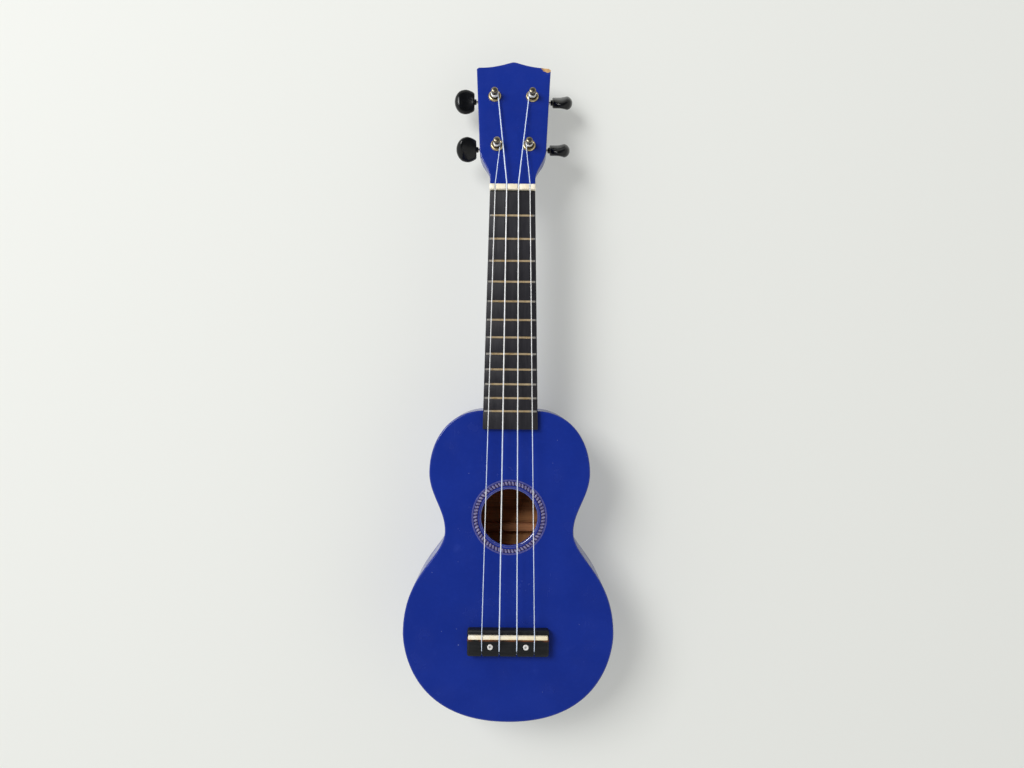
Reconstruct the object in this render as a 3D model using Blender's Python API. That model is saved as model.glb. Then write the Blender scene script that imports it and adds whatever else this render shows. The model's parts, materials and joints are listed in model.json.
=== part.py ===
# Soprano ukulele, lying on its back. Metres, +Y towards the headstock, +X towards the treble side and
# +Z out of the soundboard. The origin is under the middle of its length, at the underside of the back.

import math
from collections import namedtuple

import bmesh
import bpy
from mathutils import Matrix, Vector
from mathutils.geometry import interpolate_bezier

MM = 0.001
GAP = 0.3 * MM
TURNING_ROOM = 0.35 * MM

# Neck and strings
SCALE_LENGTH = 346 * MM
FRET_COUNT = 12
BODY_JOIN = 172.7 * MM
BOARD_LENGTH = 187.3 * MM
BOARD_THICKNESS = 4 * MM
BOARD_HALF_AT_NUT = 17.8 * MM
BOARD_HALF_AT_JOIN = 21.4 * MM
NUT_LENGTH = 5 * MM
NUT_HALF_WIDTH = 18 * MM
NUT_TOP = 64.9 * MM
STRING_AT_NUT = 64.5 * MM
STRING_AT_SADDLE = 69 * MM
NECK_DEPTH = 14 * MM
NECK_DEPTH_AT_HEEL = 15.5 * MM
HEEL_START = 132 * MM
HEEL_DEPTH = 52 * MM

# Body. Each anchor of its outline has a half width, a distance from the nut and the lengths of the curve's
# handles before and after it.
BODY_DEPTH = 58 * MM
SHOULDER = (20 * MM, BODY_JOIN, 0, 29 * MM)
UPPER_BOUT = (63.7 * MM, 222 * MM, 25 * MM, 18 * MM)
WAIST = (50.9 * MM, 268.6 * MM, 17 * MM, 21 * MM)
LOWER_BOUT = (83.5 * MM, 349.6 * MM, 47.8 * MM, 9.3 * MM)
TAIL = (0, 419.5 * MM, 78.2 * MM, 0)
PLATE_THICKNESS = 2.2 * MM
WALL_THICKNESS = 1.8 * MM
LINING_WIDTH = 5.8 * MM
LINING_HEIGHT = 8 * MM
LINING_EDGE = 3 * MM
EDGE_ROUND = 1.2 * MM
HOLE_CENTRE = 257.1 * MM
HOLE_RADIUS = 22.2 * MM

# Bridge
BRIDGE_FRONT = 344.2 * MM
BRIDGE_REAR = 365.2 * MM
BRIDGE_HALF_LENGTH = 32.1 * MM
BRIDGE_TOP = 65.6 * MM
BRIDGE_ROUND = 1.2 * MM
BRIDGE_PLATE_HALF = 30 * MM
BRIDGE_PLATE_THICKNESS = 2 * MM
SADDLE_PLACE = 349.6 * MM
SADDLE_HALF_LENGTH = 31.2 * MM
SADDLE_THICKNESS = 3.2 * MM
SADDLE_TOP = 68.2 * MM
SLOT_FLOOR = 62.4 * MM
STRING_SLOT_START = 360.4 * MM
STRING_SLOT_FLOOR = 60.9 * MM
KNOT_FLOOR = 59.4 * MM
KNOT_CEILING = 62.8 * MM
KNOT_HALF_WIDTH = 1.7 * MM
SCREW_PLACE = 357.6 * MM
SCREW_SPREAD = 14 * MM
SCREW_HOLE_RADIUS = 1.35 * MM
SCREW_RADIUS = 0.95 * MM
SCREW_HEAD_RADIUS = 2 * MM
SCREW_HEAD_HEIGHT = 1.3 * MM
SCREW_LENGTH = 11 * MM
CAP_RADIUS = 2.25 * MM
CAP_THICKNESS = 1.1 * MM
CAP_PROUD = 0.2 * MM

# Headstock, in its own tilted plane: distances along it start at the nut's far edge
HEADSTOCK_ANGLE = math.radians(12)
HEADSTOCK_THICKNESS = 13 * MM
HEADSTOCK_LENGTH = 103.5 * MM
CROWN_HEIGHT = 5.1 * MM
CROWN_HALF_SPAN = 24 * MM
CROWN_POINT_ROUND = 1.8 * MM
CROWN_CURVE = 1.8
HEAD_HALF_AT_NUT = 18 * MM
HEAD_HALF_AT_SHOULDER = 26.6 * MM
HEAD_HALF_AT_TIP = 30.3 * MM
SHOULDER_START = 5 * MM
SHOULDER_END = 31 * MM

# Tuning machine: a worm on the button's shaft drives a gear on the string post
GEAR_TEETH = 14
GEAR_MODULE = 0.6 * MM
WORM_PITCH_RADIUS = 2 * MM
ADDENDUM = 0.5 * MM
DEDENDUM = 0.75 * MM
TOOTH_SHARE = 0.38
PRESSURE_ANGLE = math.radians(20)
GEAR_THICKNESS = 3 * MM
WORM_TURNS = 4
WORM_DROP = 19.5 * MM
SHAFT_RADIUS = 1.25 * MM
BUTTON_OFFSET = 17.3 * MM
BUTTON_SIDES = 16
POST_RADIUS = 2.7 * MM
POST_WAIST = 2.15 * MM
POST_THIN_RADIUS = 1.9 * MM
POST_BORE = POST_RADIUS + TURNING_ROOM
POST_HEIGHT = 9.8 * MM
STRING_HOLE_HEIGHT = 6.3 * MM
STRING_HOLE_RADIUS = 0.75 * MM
SLEEVE_RADIUS = 3.5 * MM
SLEEVE_DEPTH = 9 * MM
SLEEVE_HOLE_RADIUS = 3.8 * MM
BUSHING_RADIUS = 5.25 * MM
BUSHING_HEIGHT = 1.6 * MM
PLATE_GAUGE = 1 * MM
PLATE_HALF_WIDTH = 5.6 * MM
PLATE_NEAR = -10.5 * MM
PLATE_FAR = 15.5 * MM
PLATE_SCREW_INSET = 2.2 * MM
WINDING_PITCH = 1.4 * MM
WINDING_START = 2.8 * MM
WINDING_TURNS = 2
POINTS_PER_TURN = 14

# Each string: its tuner's side (-1 bass, 1 treble), the tuner's place, the string's radius, its place at
# the nut and at the saddle, and how far its button is turned
String = namedtuple("String", "side tuner radius at_nut at_saddle turn")
UPPER_TUNER = (15.2 * MM, 77.6 * MM)
LOWER_TUNER = (12.8 * MM, 34.3 * MM)
STRINGS = {
    "g": String(-1, LOWER_TUNER, 0.33 * MM, -13.55 * MM, -20.55 * MM, 2),
    "c": String(-1, UPPER_TUNER, 0.45 * MM, -4.6 * MM, -6.85 * MM, 31),
    "e": String(1, UPPER_TUNER, 0.4 * MM, 4.6 * MM, 6.85 * MM, -45),
    "a": String(1, LOWER_TUNER, 0.33 * MM, 13.55 * MM, 20.55 * MM, -76),
}

# Values that follow from the driving dimensions
TIP_PAST_NUT = NUT_LENGTH + GAP + (HEADSTOCK_LENGTH + CROWN_HEIGHT) * math.cos(HEADSTOCK_ANGLE)
NUT_Y = (TAIL[1] - TIP_PAST_NUT) / 2
BOARD_BOTTOM = BODY_DEPTH + GAP
BOARD_TOP = BOARD_BOTTOM + BOARD_THICKNESS
INNER_LOW = PLATE_THICKNESS + GAP
INNER_HIGH = BODY_DEPTH - PLATE_THICKNESS - GAP
BLOCK_INSET = WALL_THICKNESS + GAP
AXIAL_PITCH = math.pi * GEAR_MODULE
GEAR_PITCH_RADIUS = GEAR_TEETH * GEAR_MODULE / 2
WORM_ASIDE = GEAR_PITCH_RADIUS + WORM_PITCH_RADIUS
WORM_LEAD_SLOPE = AXIAL_PITCH / (2 * math.pi * WORM_PITCH_RADIUS)
MACHINE_PLATE_TOP = -HEADSTOCK_THICKNESS - GAP


def from_nut(distance):
    return NUT_Y - distance


def scaled(points, factor):
    return [tuple(value * factor for value in point) for point in points]


# Building blocks

def clear_scene():
    for obj in list(bpy.data.objects):
        bpy.data.objects.remove(obj)


def material(name, colour, roughness, metallic=0.0):
    made = bpy.data.materials.new(name)
    made.use_nodes = True
    shader = made.node_tree.nodes["Principled BSDF"]
    shader.inputs["Base Color"].default_value = (*colour, 1.0)
    shader.inputs["Roughness"].default_value = roughness
    shader.inputs["Metallic"].default_value = metallic
    return made


def link_object(name, data, parent):
    obj = bpy.data.objects.new(name, data)
    obj.parent = parent
    bpy.context.scene.collection.objects.link(obj)
    return obj


def solid(name, bm, finish, parent=None):
    bmesh.ops.recalc_face_normals(bm, faces=bm.faces)
    mesh = bpy.data.meshes.new(name)
    bm.to_mesh(mesh)
    bm.free()
    mesh.shade_smooth()
    mesh.set_sharp_from_angle(angle=math.radians(35))
    if finish:
        mesh.materials.append(finish)
    return link_object(name, mesh, parent)


def combine(target, name, bm, operation="DIFFERENCE", parent=None):
    helper = solid(name, bm, None, parent)
    helper.hide_render = True
    helper.display_type = "WIRE"
    modifier = target.modifiers.new(name, "BOOLEAN")
    modifier.operation = operation
    modifier.solver = "EXACT"
    modifier.object = helper


def pivot(name, place, turn=0.0, parent=None):
    empty = link_object(name, None, parent)
    empty.location = place
    empty.rotation_euler = (turn, 0, 0)
    return empty


def placed(a, b, along, axis):
    # A point from its place along an axis and its two places on the other axes, in X, Y, Z order
    if axis == "X":
        return (along, a, b)
    if axis == "Y":
        return (a, along, b)
    return (a, b, along)


def extruded(outline, start, end, axis="Z"):
    bm = bmesh.new()
    face = bm.faces.new([bm.verts.new(placed(a, b, start, axis)) for a, b in outline])
    grown = bmesh.ops.extrude_face_region(bm, geom=[face])
    moved = [item for item in grown["geom"] if isinstance(item, bmesh.types.BMVert)]
    bmesh.ops.translate(bm, vec=Vector(placed(0, 0, end - start, axis)), verts=moved)
    return bm


def box(low, high):
    outline = [(low[0], low[1]), (high[0], low[1]), (high[0], high[1]), (low[0], high[1])]
    return extruded(outline, low[2], high[2])


def circle(radius, sides, centre=(0, 0)):
    turn = 2 * math.pi / sides
    return [
        (centre[0] + radius * math.cos(turn * i), centre[1] + radius * math.sin(turn * i))
        for i in range(sides)
    ]


def cylinder(radius, low, high, sides, centre=(0, 0)):
    return extruded(circle(radius, sides, centre), low, high)


def turned(profile, sides):
    # Spins a closed (radius, height) profile round +Z
    bm = bmesh.new()
    verts = [bm.verts.new((radius, 0, height)) for radius, height in profile]
    edges = [bm.edges.new((verts[i - 1], verts[i])) for i in range(len(verts))]
    bmesh.ops.spin(
        bm, geom=verts + edges, cent=(0, 0, 0), axis=(0, 0, 1), dvec=(0, 0, 0),
        angle=2 * math.pi, steps=sides, use_merge=True, use_duplicate=False)
    bmesh.ops.remove_doubles(bm, verts=bm.verts, dist=0.001 * MM)
    bmesh.ops.dissolve_degenerate(bm, dist=0.001 * MM, edges=bm.edges)
    loose = [edge for edge in bm.edges if not edge.link_faces]
    bmesh.ops.delete(bm, geom=loose, context="EDGES")
    return bm


def lofted(rings, caps=(True, True)):
    # Joins closed rings of points, each with the same count, into one skin
    bm = bmesh.new()
    rows = [[bm.verts.new(point) for point in ring] for ring in rings]
    for row, after in zip(rows, rows[1:]):
        for i in range(len(row)):
            bm.faces.new((row[i - 1], row[i], after[i], after[i - 1]))
    if caps[0]:
        bm.faces.new(rows[0])
    if caps[1]:
        bm.faces.new(rows[-1])
    return bm, rows


def round_edges(bm, chosen, width, segments=1):
    bmesh.ops.bevel(bm, geom=chosen, offset=width, segments=segments, profile=0.5, affect="EDGES")


def edges_at_height(bm, height):
    return [edge for edge in bm.edges if all(abs(vert.co.z - height) < 0.01 * MM for vert in edge.verts)]


# Body

def half_outline():
    # The treble half, from the middle of the shoulders round to the middle of the tail
    anchors = [SHOULDER, UPPER_BOUT, WAIST, LOWER_BOUT, TAIL]
    counts = [10, 8, 12, 14]
    points = [Vector((0, BODY_JOIN))]
    for start, end, count in zip(anchors, anchors[1:], counts):
        leave = Vector((start[3], 0)) if start is SHOULDER else Vector((0, start[3]))
        arrive = Vector((end[2], 0)) if end is TAIL else Vector((0, -end[2]))
        first = Vector(start[:2])
        last = Vector(end[:2])
        span = interpolate_bezier(first, first + leave, last + arrive, last, count + 1)
        points.extend(Vector(point[:2]) for point in span[:-1])
    points.append(Vector(TAIL[:2]))
    return points


def inset_half(points, distance):
    # Moves the half outline inwards, square to itself
    moved = []
    for i, point in enumerate(points):
        along = points[min(i + 1, len(points) - 1)] - points[max(i - 1, 0)]
        if i in (0, len(points) - 1):
            along = Vector((along.x, 0))
        along.normalize()
        moved.append(point + Vector((-along.y, along.x)) * distance)
    return moved


def whole_outline(points):
    treble = [(point.x, from_nut(point.y)) for point in points]
    bass = [(-x, y) for x, y in reversed(treble[1:-1])]
    return treble + bass


def build_plates(finishes):
    outline = whole_outline(half_outline())
    top_low = BODY_DEPTH - PLATE_THICKNESS
    bm = extruded(outline, top_low, BODY_DEPTH)
    round_edges(bm, edges_at_height(bm, BODY_DEPTH), EDGE_ROUND)
    soundboard = solid("soundboard", bm, finishes["top"])
    hole = cylinder(HOLE_RADIUS, top_low - MM, BODY_DEPTH + MM, 40, (0, from_nut(HOLE_CENTRE)))
    combine(soundboard, "soundhole_cutter", hole)
    cut_screw_holes(soundboard, "soundboard")
    bm = extruded(outline, 0, PLATE_THICKNESS)
    round_edges(bm, edges_at_height(bm, 0), EDGE_ROUND)
    solid("back", bm, finishes["back"])


def build_sides(finishes):
    # Each side is a bent strip with a lining along both of its edges, swept round the half outline
    profile = [
        (0, INNER_LOW),
        (0, INNER_HIGH),
        (LINING_WIDTH, INNER_HIGH),
        (LINING_WIDTH, INNER_HIGH - LINING_EDGE),
        (WALL_THICKNESS, INNER_HIGH - LINING_HEIGHT),
        (WALL_THICKNESS, INNER_LOW + LINING_HEIGHT),
        (LINING_WIDTH, INNER_LOW + LINING_EDGE),
        (LINING_WIDTH, INNER_LOW),
    ]
    points = half_outline()
    courses = [inset_half(points, inset) for inset, height in profile]
    for name, side in (("side_bass", -1), ("side_treble", 1)):
        rings = []
        for i in range(len(points)):
            ring = []
            for course, (inset, height) in zip(courses, profile):
                across = max(course[i].x, GAP / 2) * side
                ring.append((across, from_nut(course[i].y), height))
            rings.append(ring)
        bm, rows = lofted(rings)
        solid(name, bm, finishes["side"])


def build_blocks(finishes):
    # The blocks stand between the plates and are cut back round the linings
    tail_curve = 1.1 * MM
    for name, wall, direction, reach, half_width in (
            ("neck_block", BODY_JOIN, 1, 27 * MM, 19 * MM),
            ("tail_block", TAIL[1] - tail_curve, -1, 16 * MM, 18 * MM)):
        shape = [
            (BLOCK_INSET, INNER_LOW + LINING_HEIGHT + GAP),
            (BLOCK_INSET, INNER_HIGH - LINING_HEIGHT - GAP),
            (LINING_WIDTH + GAP, INNER_HIGH - LINING_EDGE - GAP),
            (LINING_WIDTH + GAP, INNER_HIGH),
            (reach, INNER_HIGH),
            (reach, INNER_LOW),
            (LINING_WIDTH + GAP, INNER_LOW),
            (LINING_WIDTH + GAP, INNER_LOW + LINING_EDGE + GAP),
        ]
        outline = [(from_nut(wall + direction * inset), height) for inset, height in shape]
        solid(name, extruded(outline, -half_width, half_width, "X"), finishes["inner_wood"])


def build_braces(finishes):
    # Name, distance from the nut, half length, width, height and whether it is on the soundboard
    braces = [
        ("top_brace_upper", 225 * MM, 56.5 * MM, 6 * MM, 9 * MM, True),
        ("top_brace_lower", 291 * MM, 51 * MM, 6 * MM, 9 * MM, True),
        ("back_brace_waist", 273.5 * MM, 44 * MM, 7 * MM, 8.5 * MM, False),
        ("back_brace_lower", 348 * MM, 76.5 * MM, 7 * MM, 8.5 * MM, False),
    ]
    scallop = 12 * MM
    end_height = 3 * MM
    for name, place, half_length, width, height, on_top in braces:
        glued = INNER_HIGH if on_top else INNER_LOW
        away = -1 if on_top else 1
        outline = [
            (-half_length, glued),
            (-half_length, glued + away * end_height),
            (scallop - half_length, glued + away * height),
            (half_length - scallop, glued + away * height),
            (half_length, glued + away * end_height),
            (half_length, glued),
        ]
        start = from_nut(place + width / 2)
        solid(name, extruded(outline, start, start + width, "Y"), finishes["inner_wood"])
    margin = 4 * MM
    low = (-BRIDGE_PLATE_HALF, from_nut(BRIDGE_REAR + margin), INNER_HIGH - BRIDGE_PLATE_THICKNESS)
    high = (BRIDGE_PLATE_HALF, from_nut(BRIDGE_FRONT - margin), INNER_HIGH)
    plate = solid("bridge_plate", box(low, high), finishes["inner_wood"])
    cut_screw_holes(plate, "bridge_plate")


# Neck

def board_half_width(distance):
    return BOARD_HALF_AT_NUT + (BOARD_HALF_AT_JOIN - BOARD_HALF_AT_NUT) * distance / BODY_JOIN


def head_half_width(along):
    share = min(max((along - SHOULDER_START) / (SHOULDER_END - SHOULDER_START), 0), 1)
    swell = share * share * (3 - 2 * share)
    taper = max(along - SHOULDER_END, 0) / (HEADSTOCK_LENGTH - SHOULDER_END)
    curve = (HEAD_HALF_AT_SHOULDER - HEAD_HALF_AT_NUT) * swell
    return HEAD_HALF_AT_NUT + curve + (HEAD_HALF_AT_TIP - HEAD_HALF_AT_SHOULDER) * taper


def crown(across):
    # The end's curve rises to a slightly rounded point in the middle
    reach = math.hypot(across, CROWN_POINT_ROUND) - CROWN_POINT_ROUND
    return CROWN_HEIGHT * (1 - min(reach / CROWN_HALF_SPAN, 1)) ** CROWN_CURVE


def neck_section(squareness):
    # Unit section from the treble edge round the back to the bass edge, then over the flat front.
    # Squareness 0 is a rounded neck and 1 a flat headstock.
    front = [0.72, 0.5, 0.3, 0.13]
    square = [(1, 0), (1, -0.45), (1, -0.92), (0.94, -1)] + [(across, -1) for across in front]
    quarter = []
    for i, (across, drop) in enumerate(square):
        angle = math.pi / 2 * i / len(square)
        rounded = (math.cos(angle) ** 0.85, -math.sin(angle) ** 0.85)
        quarter.append((
            rounded[0] + (across - rounded[0]) * squareness,
            rounded[1] + (drop - rounded[1]) * squareness,
        ))
    back = quarter + [(0, -1)] + [(-across, drop) for across, drop in reversed(quarter)]
    face = [(-across, 0) for across in front] + [(0, 0)] + [(across, 0) for across in reversed(front)]
    return back + face


def neck_ring(centre, tilt, half_width, depth, squareness, crowned=False):
    down = Vector((0, -math.sin(tilt), -math.cos(tilt)))
    forward = Vector((0, math.cos(tilt), -math.sin(tilt)))
    ring = []
    for across, drop in neck_section(squareness):
        point = centre + Vector((across * half_width, 0, 0)) - down * (drop * depth)
        if crowned:
            point += forward * crown(across * half_width)
        ring.append(point)
    return ring


def on_headstock(across, along, height):
    # A point in the headstock's own plane: across it, along it from the nut, and out of its face
    start = Vector((0, NUT_Y + NUT_LENGTH + GAP, BODY_DEPTH))
    return start + Matrix.Rotation(-HEADSTOCK_ANGLE, 3, "X") @ Vector((across, along, height))


def build_neck(finishes):
    rings = []
    heel_end = BODY_JOIN - GAP
    for share in (1, 0.94, 0.87, 0.79, 0.7, 0.58, 0.42, 0.2, 0):
        distance = HEEL_START + (heel_end - HEEL_START) * share
        depth = NECK_DEPTH_AT_HEEL + (HEEL_DEPTH - NECK_DEPTH_AT_HEEL) * share ** 2.4
        centre = Vector((0, from_nut(distance), BODY_DEPTH))
        rings.append(neck_ring(centre, 0, board_half_width(distance), depth, 0))
    rings.append(neck_ring(Vector((0, NUT_Y, BODY_DEPTH)), 0, BOARD_HALF_AT_NUT, NECK_DEPTH, 0))
    mitre = HEADSTOCK_ANGLE / 2
    rings.append(neck_ring(on_headstock(0, 0, 0), mitre, HEAD_HALF_AT_NUT, NECK_DEPTH, 0.1))
    for along in (5, 9, 13, 17, 21, 25, 28, 31, 66, 100.8):
        squareness = min(along / 21, 1)
        ring_place = on_headstock(0, along * MM, 0)
        half_width = head_half_width(along * MM)
        rings.append(neck_ring(ring_place, HEADSTOCK_ANGLE, half_width, HEADSTOCK_THICKNESS, squareness))
    corner = 2.4 * MM
    for inward, back in ((0.3, 0.35), (1, 0)):
        along = HEADSTOCK_LENGTH - corner * back
        half_width = HEAD_HALF_AT_TIP - corner * inward * 0.8
        ring_place = on_headstock(0, along, 0)
        ring = neck_ring(ring_place, HEADSTOCK_ANGLE, half_width, HEADSTOCK_THICKNESS, 1, back == 0)
        rings.append(ring)
    bm, rows = lofted(rings, caps=(True, False))
    close_crown(bm, rows[-1])
    return solid("neck", bm, finishes["neck"])


def close_crown(bm, tip):
    # The end face follows the crown: strips between its front and its back edge, and one face at each corner
    back_count = 17
    back = tip[:back_count]
    front = list(reversed(tip[back_count:]))
    inner_back = back[4:13]
    for i in range(len(front) - 1):
        bm.faces.new((front[i], front[i + 1], inner_back[i + 1], inner_back[i]))
    bm.faces.new([front[0], *back[:5]])
    bm.faces.new([front[-1], *reversed(back[12:])])


def build_fretboard(finishes):
    slot_half = 0.65 * MM
    slot_depth = 2.2 * MM
    outline = [(BOARD_LENGTH, BOARD_BOTTOM), (0, BOARD_BOTTOM), (0, BOARD_TOP)]
    for number in range(1, FRET_COUNT + 1):
        place = fret_place(number)
        outline.append((place - slot_half, BOARD_TOP))
        outline.append((place - slot_half, BOARD_TOP - slot_depth))
        outline.append((place + slot_half, BOARD_TOP - slot_depth))
        outline.append((place + slot_half, BOARD_TOP))
    outline.append((BOARD_LENGTH, BOARD_TOP))
    bm = extruded([(from_nut(distance), height) for distance, height in outline], -1, 1, "X")
    for vert in bm.verts:
        vert.co.x *= board_half_width(NUT_Y - vert.co.y)
    solid("fretboard", bm, finishes["fretboard"])


def fret_place(number):
    return SCALE_LENGTH * (1 - 2 ** (-number / 12))


def build_frets(finishes):
    # A half-round crown with a tang that stands in the board's slot
    crown_half = 1.1 * MM
    crown_height = 0.95 * MM
    tang_half = 0.3 * MM
    tang_depth = 1.6 * MM
    base = BOARD_TOP + GAP
    edge = 0.2 * MM
    arch = []
    for i in range(5):
        angle = math.pi * i / 4
        rise = edge + (crown_height - edge) * math.sin(angle)
        arch.append((crown_half * math.cos(angle), base + rise))
    tang = [(-crown_half, base), (-tang_half, base), (-tang_half, base - tang_depth)]
    tang += [(tang_half, base - tang_depth), (tang_half, base), (crown_half, base)]
    for number in range(1, FRET_COUNT + 1):
        place = from_nut(fret_place(number))
        half_width = board_half_width(fret_place(number)) - 0.4 * MM
        outline = [(place + along, height) for along, height in arch + tang]
        solid(f"fret_{number:02d}", extruded(outline, -half_width, half_width, "X"), finishes["fret"])


def build_nut(finishes):
    low_corner = (-NUT_HALF_WIDTH, NUT_Y + GAP, BOARD_BOTTOM)
    bm = box(low_corner, (NUT_HALF_WIDTH, NUT_Y + NUT_LENGTH, NUT_TOP))
    round_edges(bm, edges_at_height(bm, NUT_TOP), 0.7 * MM)
    nut = solid("nut", bm, finishes["bone"])
    for name, string in STRINGS.items():
        room = string.radius + GAP
        low_corner = (string.at_nut - room, NUT_Y - MM, STRING_AT_NUT - room)
        slot = box(low_corner, (string.at_nut + room, NUT_Y + NUT_LENGTH + MM, NUT_TOP + MM))
        combine(nut, f"nut_slot_cutter_{name}", slot)


# Bridge

def cut_screw_holes(target, name):
    for side in (-1, 1):
        centre = (side * SCREW_SPREAD, from_nut(SCREW_PLACE))
        hole = cylinder(SCREW_HOLE_RADIUS, INNER_HIGH - 5 * MM, BRIDGE_TOP + MM, 12, centre)
        combine(target, f"{name}_screw_hole_cutter_{side + 1}", hole)


def build_bridge(finishes):
    high = (BRIDGE_HALF_LENGTH, from_nut(BRIDGE_FRONT), BRIDGE_TOP)
    bm = box((-BRIDGE_HALF_LENGTH, from_nut(BRIDGE_REAR), BOARD_BOTTOM), high)
    round_edges(bm, edges_at_height(bm, BRIDGE_TOP), BRIDGE_ROUND, 2)
    bridge = solid("bridge", bm, finishes["bridge"])
    slot_half = SADDLE_THICKNESS / 2 + GAP
    past_end = BRIDGE_HALF_LENGTH + MM
    low_corner = (-past_end, from_nut(SADDLE_PLACE + slot_half), SLOT_FLOOR)
    slot = box(low_corner, (past_end, from_nut(SADDLE_PLACE - slot_half), BRIDGE_TOP + MM))
    combine(bridge, "saddle_slot_cutter", slot)
    rear = from_nut(BRIDGE_REAR + MM)
    for name, string in STRINGS.items():
        room = string.radius + GAP
        low_corner = (string.at_saddle - room, rear, STRING_SLOT_FLOOR)
        slot = box(low_corner, (string.at_saddle + room, from_nut(STRING_SLOT_START), BRIDGE_TOP + MM))
        combine(bridge, f"string_slot_cutter_{name}", slot)
        low_corner = (string.at_saddle - KNOT_HALF_WIDTH, rear, KNOT_FLOOR)
        high_corner = (string.at_saddle + KNOT_HALF_WIDTH, from_nut(STRING_SLOT_START + MM), KNOT_CEILING)
        combine(bridge, f"knot_pocket_cutter_{name}", box(low_corner, high_corner))
    cut_screw_holes(bridge, "bridge")
    for name, side in (("bass", -1), ("treble", 1)):
        build_bridge_screw(name, (side * SCREW_SPREAD, from_nut(SCREW_PLACE)), bridge, finishes)
    half = SADDLE_THICKNESS / 2
    low_corner = (-SADDLE_HALF_LENGTH, from_nut(SADDLE_PLACE + half), SLOT_FLOOR + GAP)
    bm = box(low_corner, (SADDLE_HALF_LENGTH, from_nut(SADDLE_PLACE - half), SADDLE_TOP))
    round_edges(bm, edges_at_height(bm, SADDLE_TOP), 0.9 * MM, 2)
    solid("saddle", bm, finishes["bone"])


def build_bridge_screw(name, centre, bridge, finishes):
    # A sunk screw that holds the bridge, and the cap that hides it
    cap_low = BRIDGE_TOP + CAP_PROUD - CAP_THICKNESS
    head_high = cap_low - GAP
    head_low = head_high - SCREW_HEAD_HEIGHT
    point = 0.6 * MM
    recess = cylinder(CAP_RADIUS + TURNING_ROOM, head_low - GAP, BRIDGE_TOP + MM, 20, centre)
    combine(bridge, f"cap_recess_cutter_{name}", recess)
    cap = cylinder(CAP_RADIUS, cap_low, cap_low + CAP_THICKNESS, 20, centre)
    solid(f"bridge_cap_{name}", cap, finishes["cap"])
    profile = [
        (0, head_low - SCREW_LENGTH),
        (SCREW_RADIUS, head_low - SCREW_LENGTH + point),
        (SCREW_RADIUS, head_low),
        (SCREW_HEAD_RADIUS, head_low),
        (SCREW_HEAD_RADIUS, head_high),
        (0, head_high),
    ]
    screw = turned(profile, 12)
    bmesh.ops.translate(screw, vec=Vector((*centre, 0)), verts=screw.verts)
    solid(f"bridge_screw_{name}", screw, finishes["steel"])


# Tuning machines

def build_tuner(key, finishes, neck):
    string = STRINGS[key]
    across, along = string.tuner
    place = on_headstock(string.side * across, along, 0)
    frame = pivot(f"tuner_{key}_axis", place, -HEADSTOCK_ANGLE)
    past = 2 * MM
    hole = cylinder(SLEEVE_HOLE_RADIUS, -HEADSTOCK_THICKNESS - past, past, 18)
    combine(neck, f"tuner_{key}_hole_cutter", hole, parent=frame)
    solid(f"tuner_{key}_bushing", turned(bushing_profile(), 18), finishes["bushing"], frame)
    build_machine_plate(key, finishes, frame)
    post = solid(f"tuner_{key}_post", turned(post_profile(), 14), finishes["post"], frame)
    reach = POST_RADIUS + MM
    hole = extruded(circle(STRING_HOLE_RADIUS, 8, (0, STRING_HOLE_HEIGHT)), -reach, reach, "Y")
    combine(post, f"tuner_{key}_string_hole_cutter", hole, parent=frame)
    gear = solid(f"tuner_{key}_gear", gear_blank(), finishes["gear"], frame)
    bore_radius = POST_THIN_RADIUS + TURNING_ROOM
    bore = cylinder(bore_radius, -WORM_DROP - GEAR_THICKNESS, -WORM_DROP + GEAR_THICKNESS, 14)
    combine(gear, f"tuner_{key}_gear_bore_cutter", bore, parent=frame)
    worm_frame = pivot(f"tuner_{key}_worm_axis", (0, WORM_ASIDE, -WORM_DROP), 0, frame)
    solid(f"tuner_{key}_worm_shaft", worm_shaft(string.side), finishes["steel"], worm_frame)
    button = solid(f"tuner_{key}_button", button_shape(string.side), finishes["button"], worm_frame)
    button.rotation_euler = (math.radians(string.turn), 0, 0)


def bushing_profile():
    # A flanged sleeve, pressed into the headstock from the front
    slope = 0.8 * MM
    return [
        (POST_BORE, -SLEEVE_DEPTH),
        (SLEEVE_RADIUS, -SLEEVE_DEPTH),
        (SLEEVE_RADIUS, GAP),
        (BUSHING_RADIUS, GAP),
        (BUSHING_RADIUS, BUSHING_HEIGHT - slope),
        (BUSHING_RADIUS - slope, BUSHING_HEIGHT),
        (POST_BORE, BUSHING_HEIGHT - slope),
    ]


def post_profile():
    # Journal, waist for the winding, domed head, and a thin end for the gear
    shoulder = -WORM_DROP + GEAR_THICKNESS / 2 + GAP
    end = -WORM_DROP - GEAR_THICKNESS / 2 - 0.4 * MM
    waist_low = 2.3 * MM
    waist_high = 7.1 * MM
    slope = 0.4 * MM
    dome = 0.9 * MM
    return [
        (0, end),
        (POST_THIN_RADIUS, end),
        (POST_THIN_RADIUS, shoulder),
        (POST_RADIUS, shoulder),
        (POST_RADIUS, waist_low - slope),
        (POST_WAIST, waist_low),
        (POST_WAIST, waist_high),
        (POST_RADIUS, waist_high + slope),
        (POST_RADIUS, POST_HEIGHT - dome),
        (POST_RADIUS - dome, POST_HEIGHT - dome / 4),
        (0, POST_HEIGHT),
    ]


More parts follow.
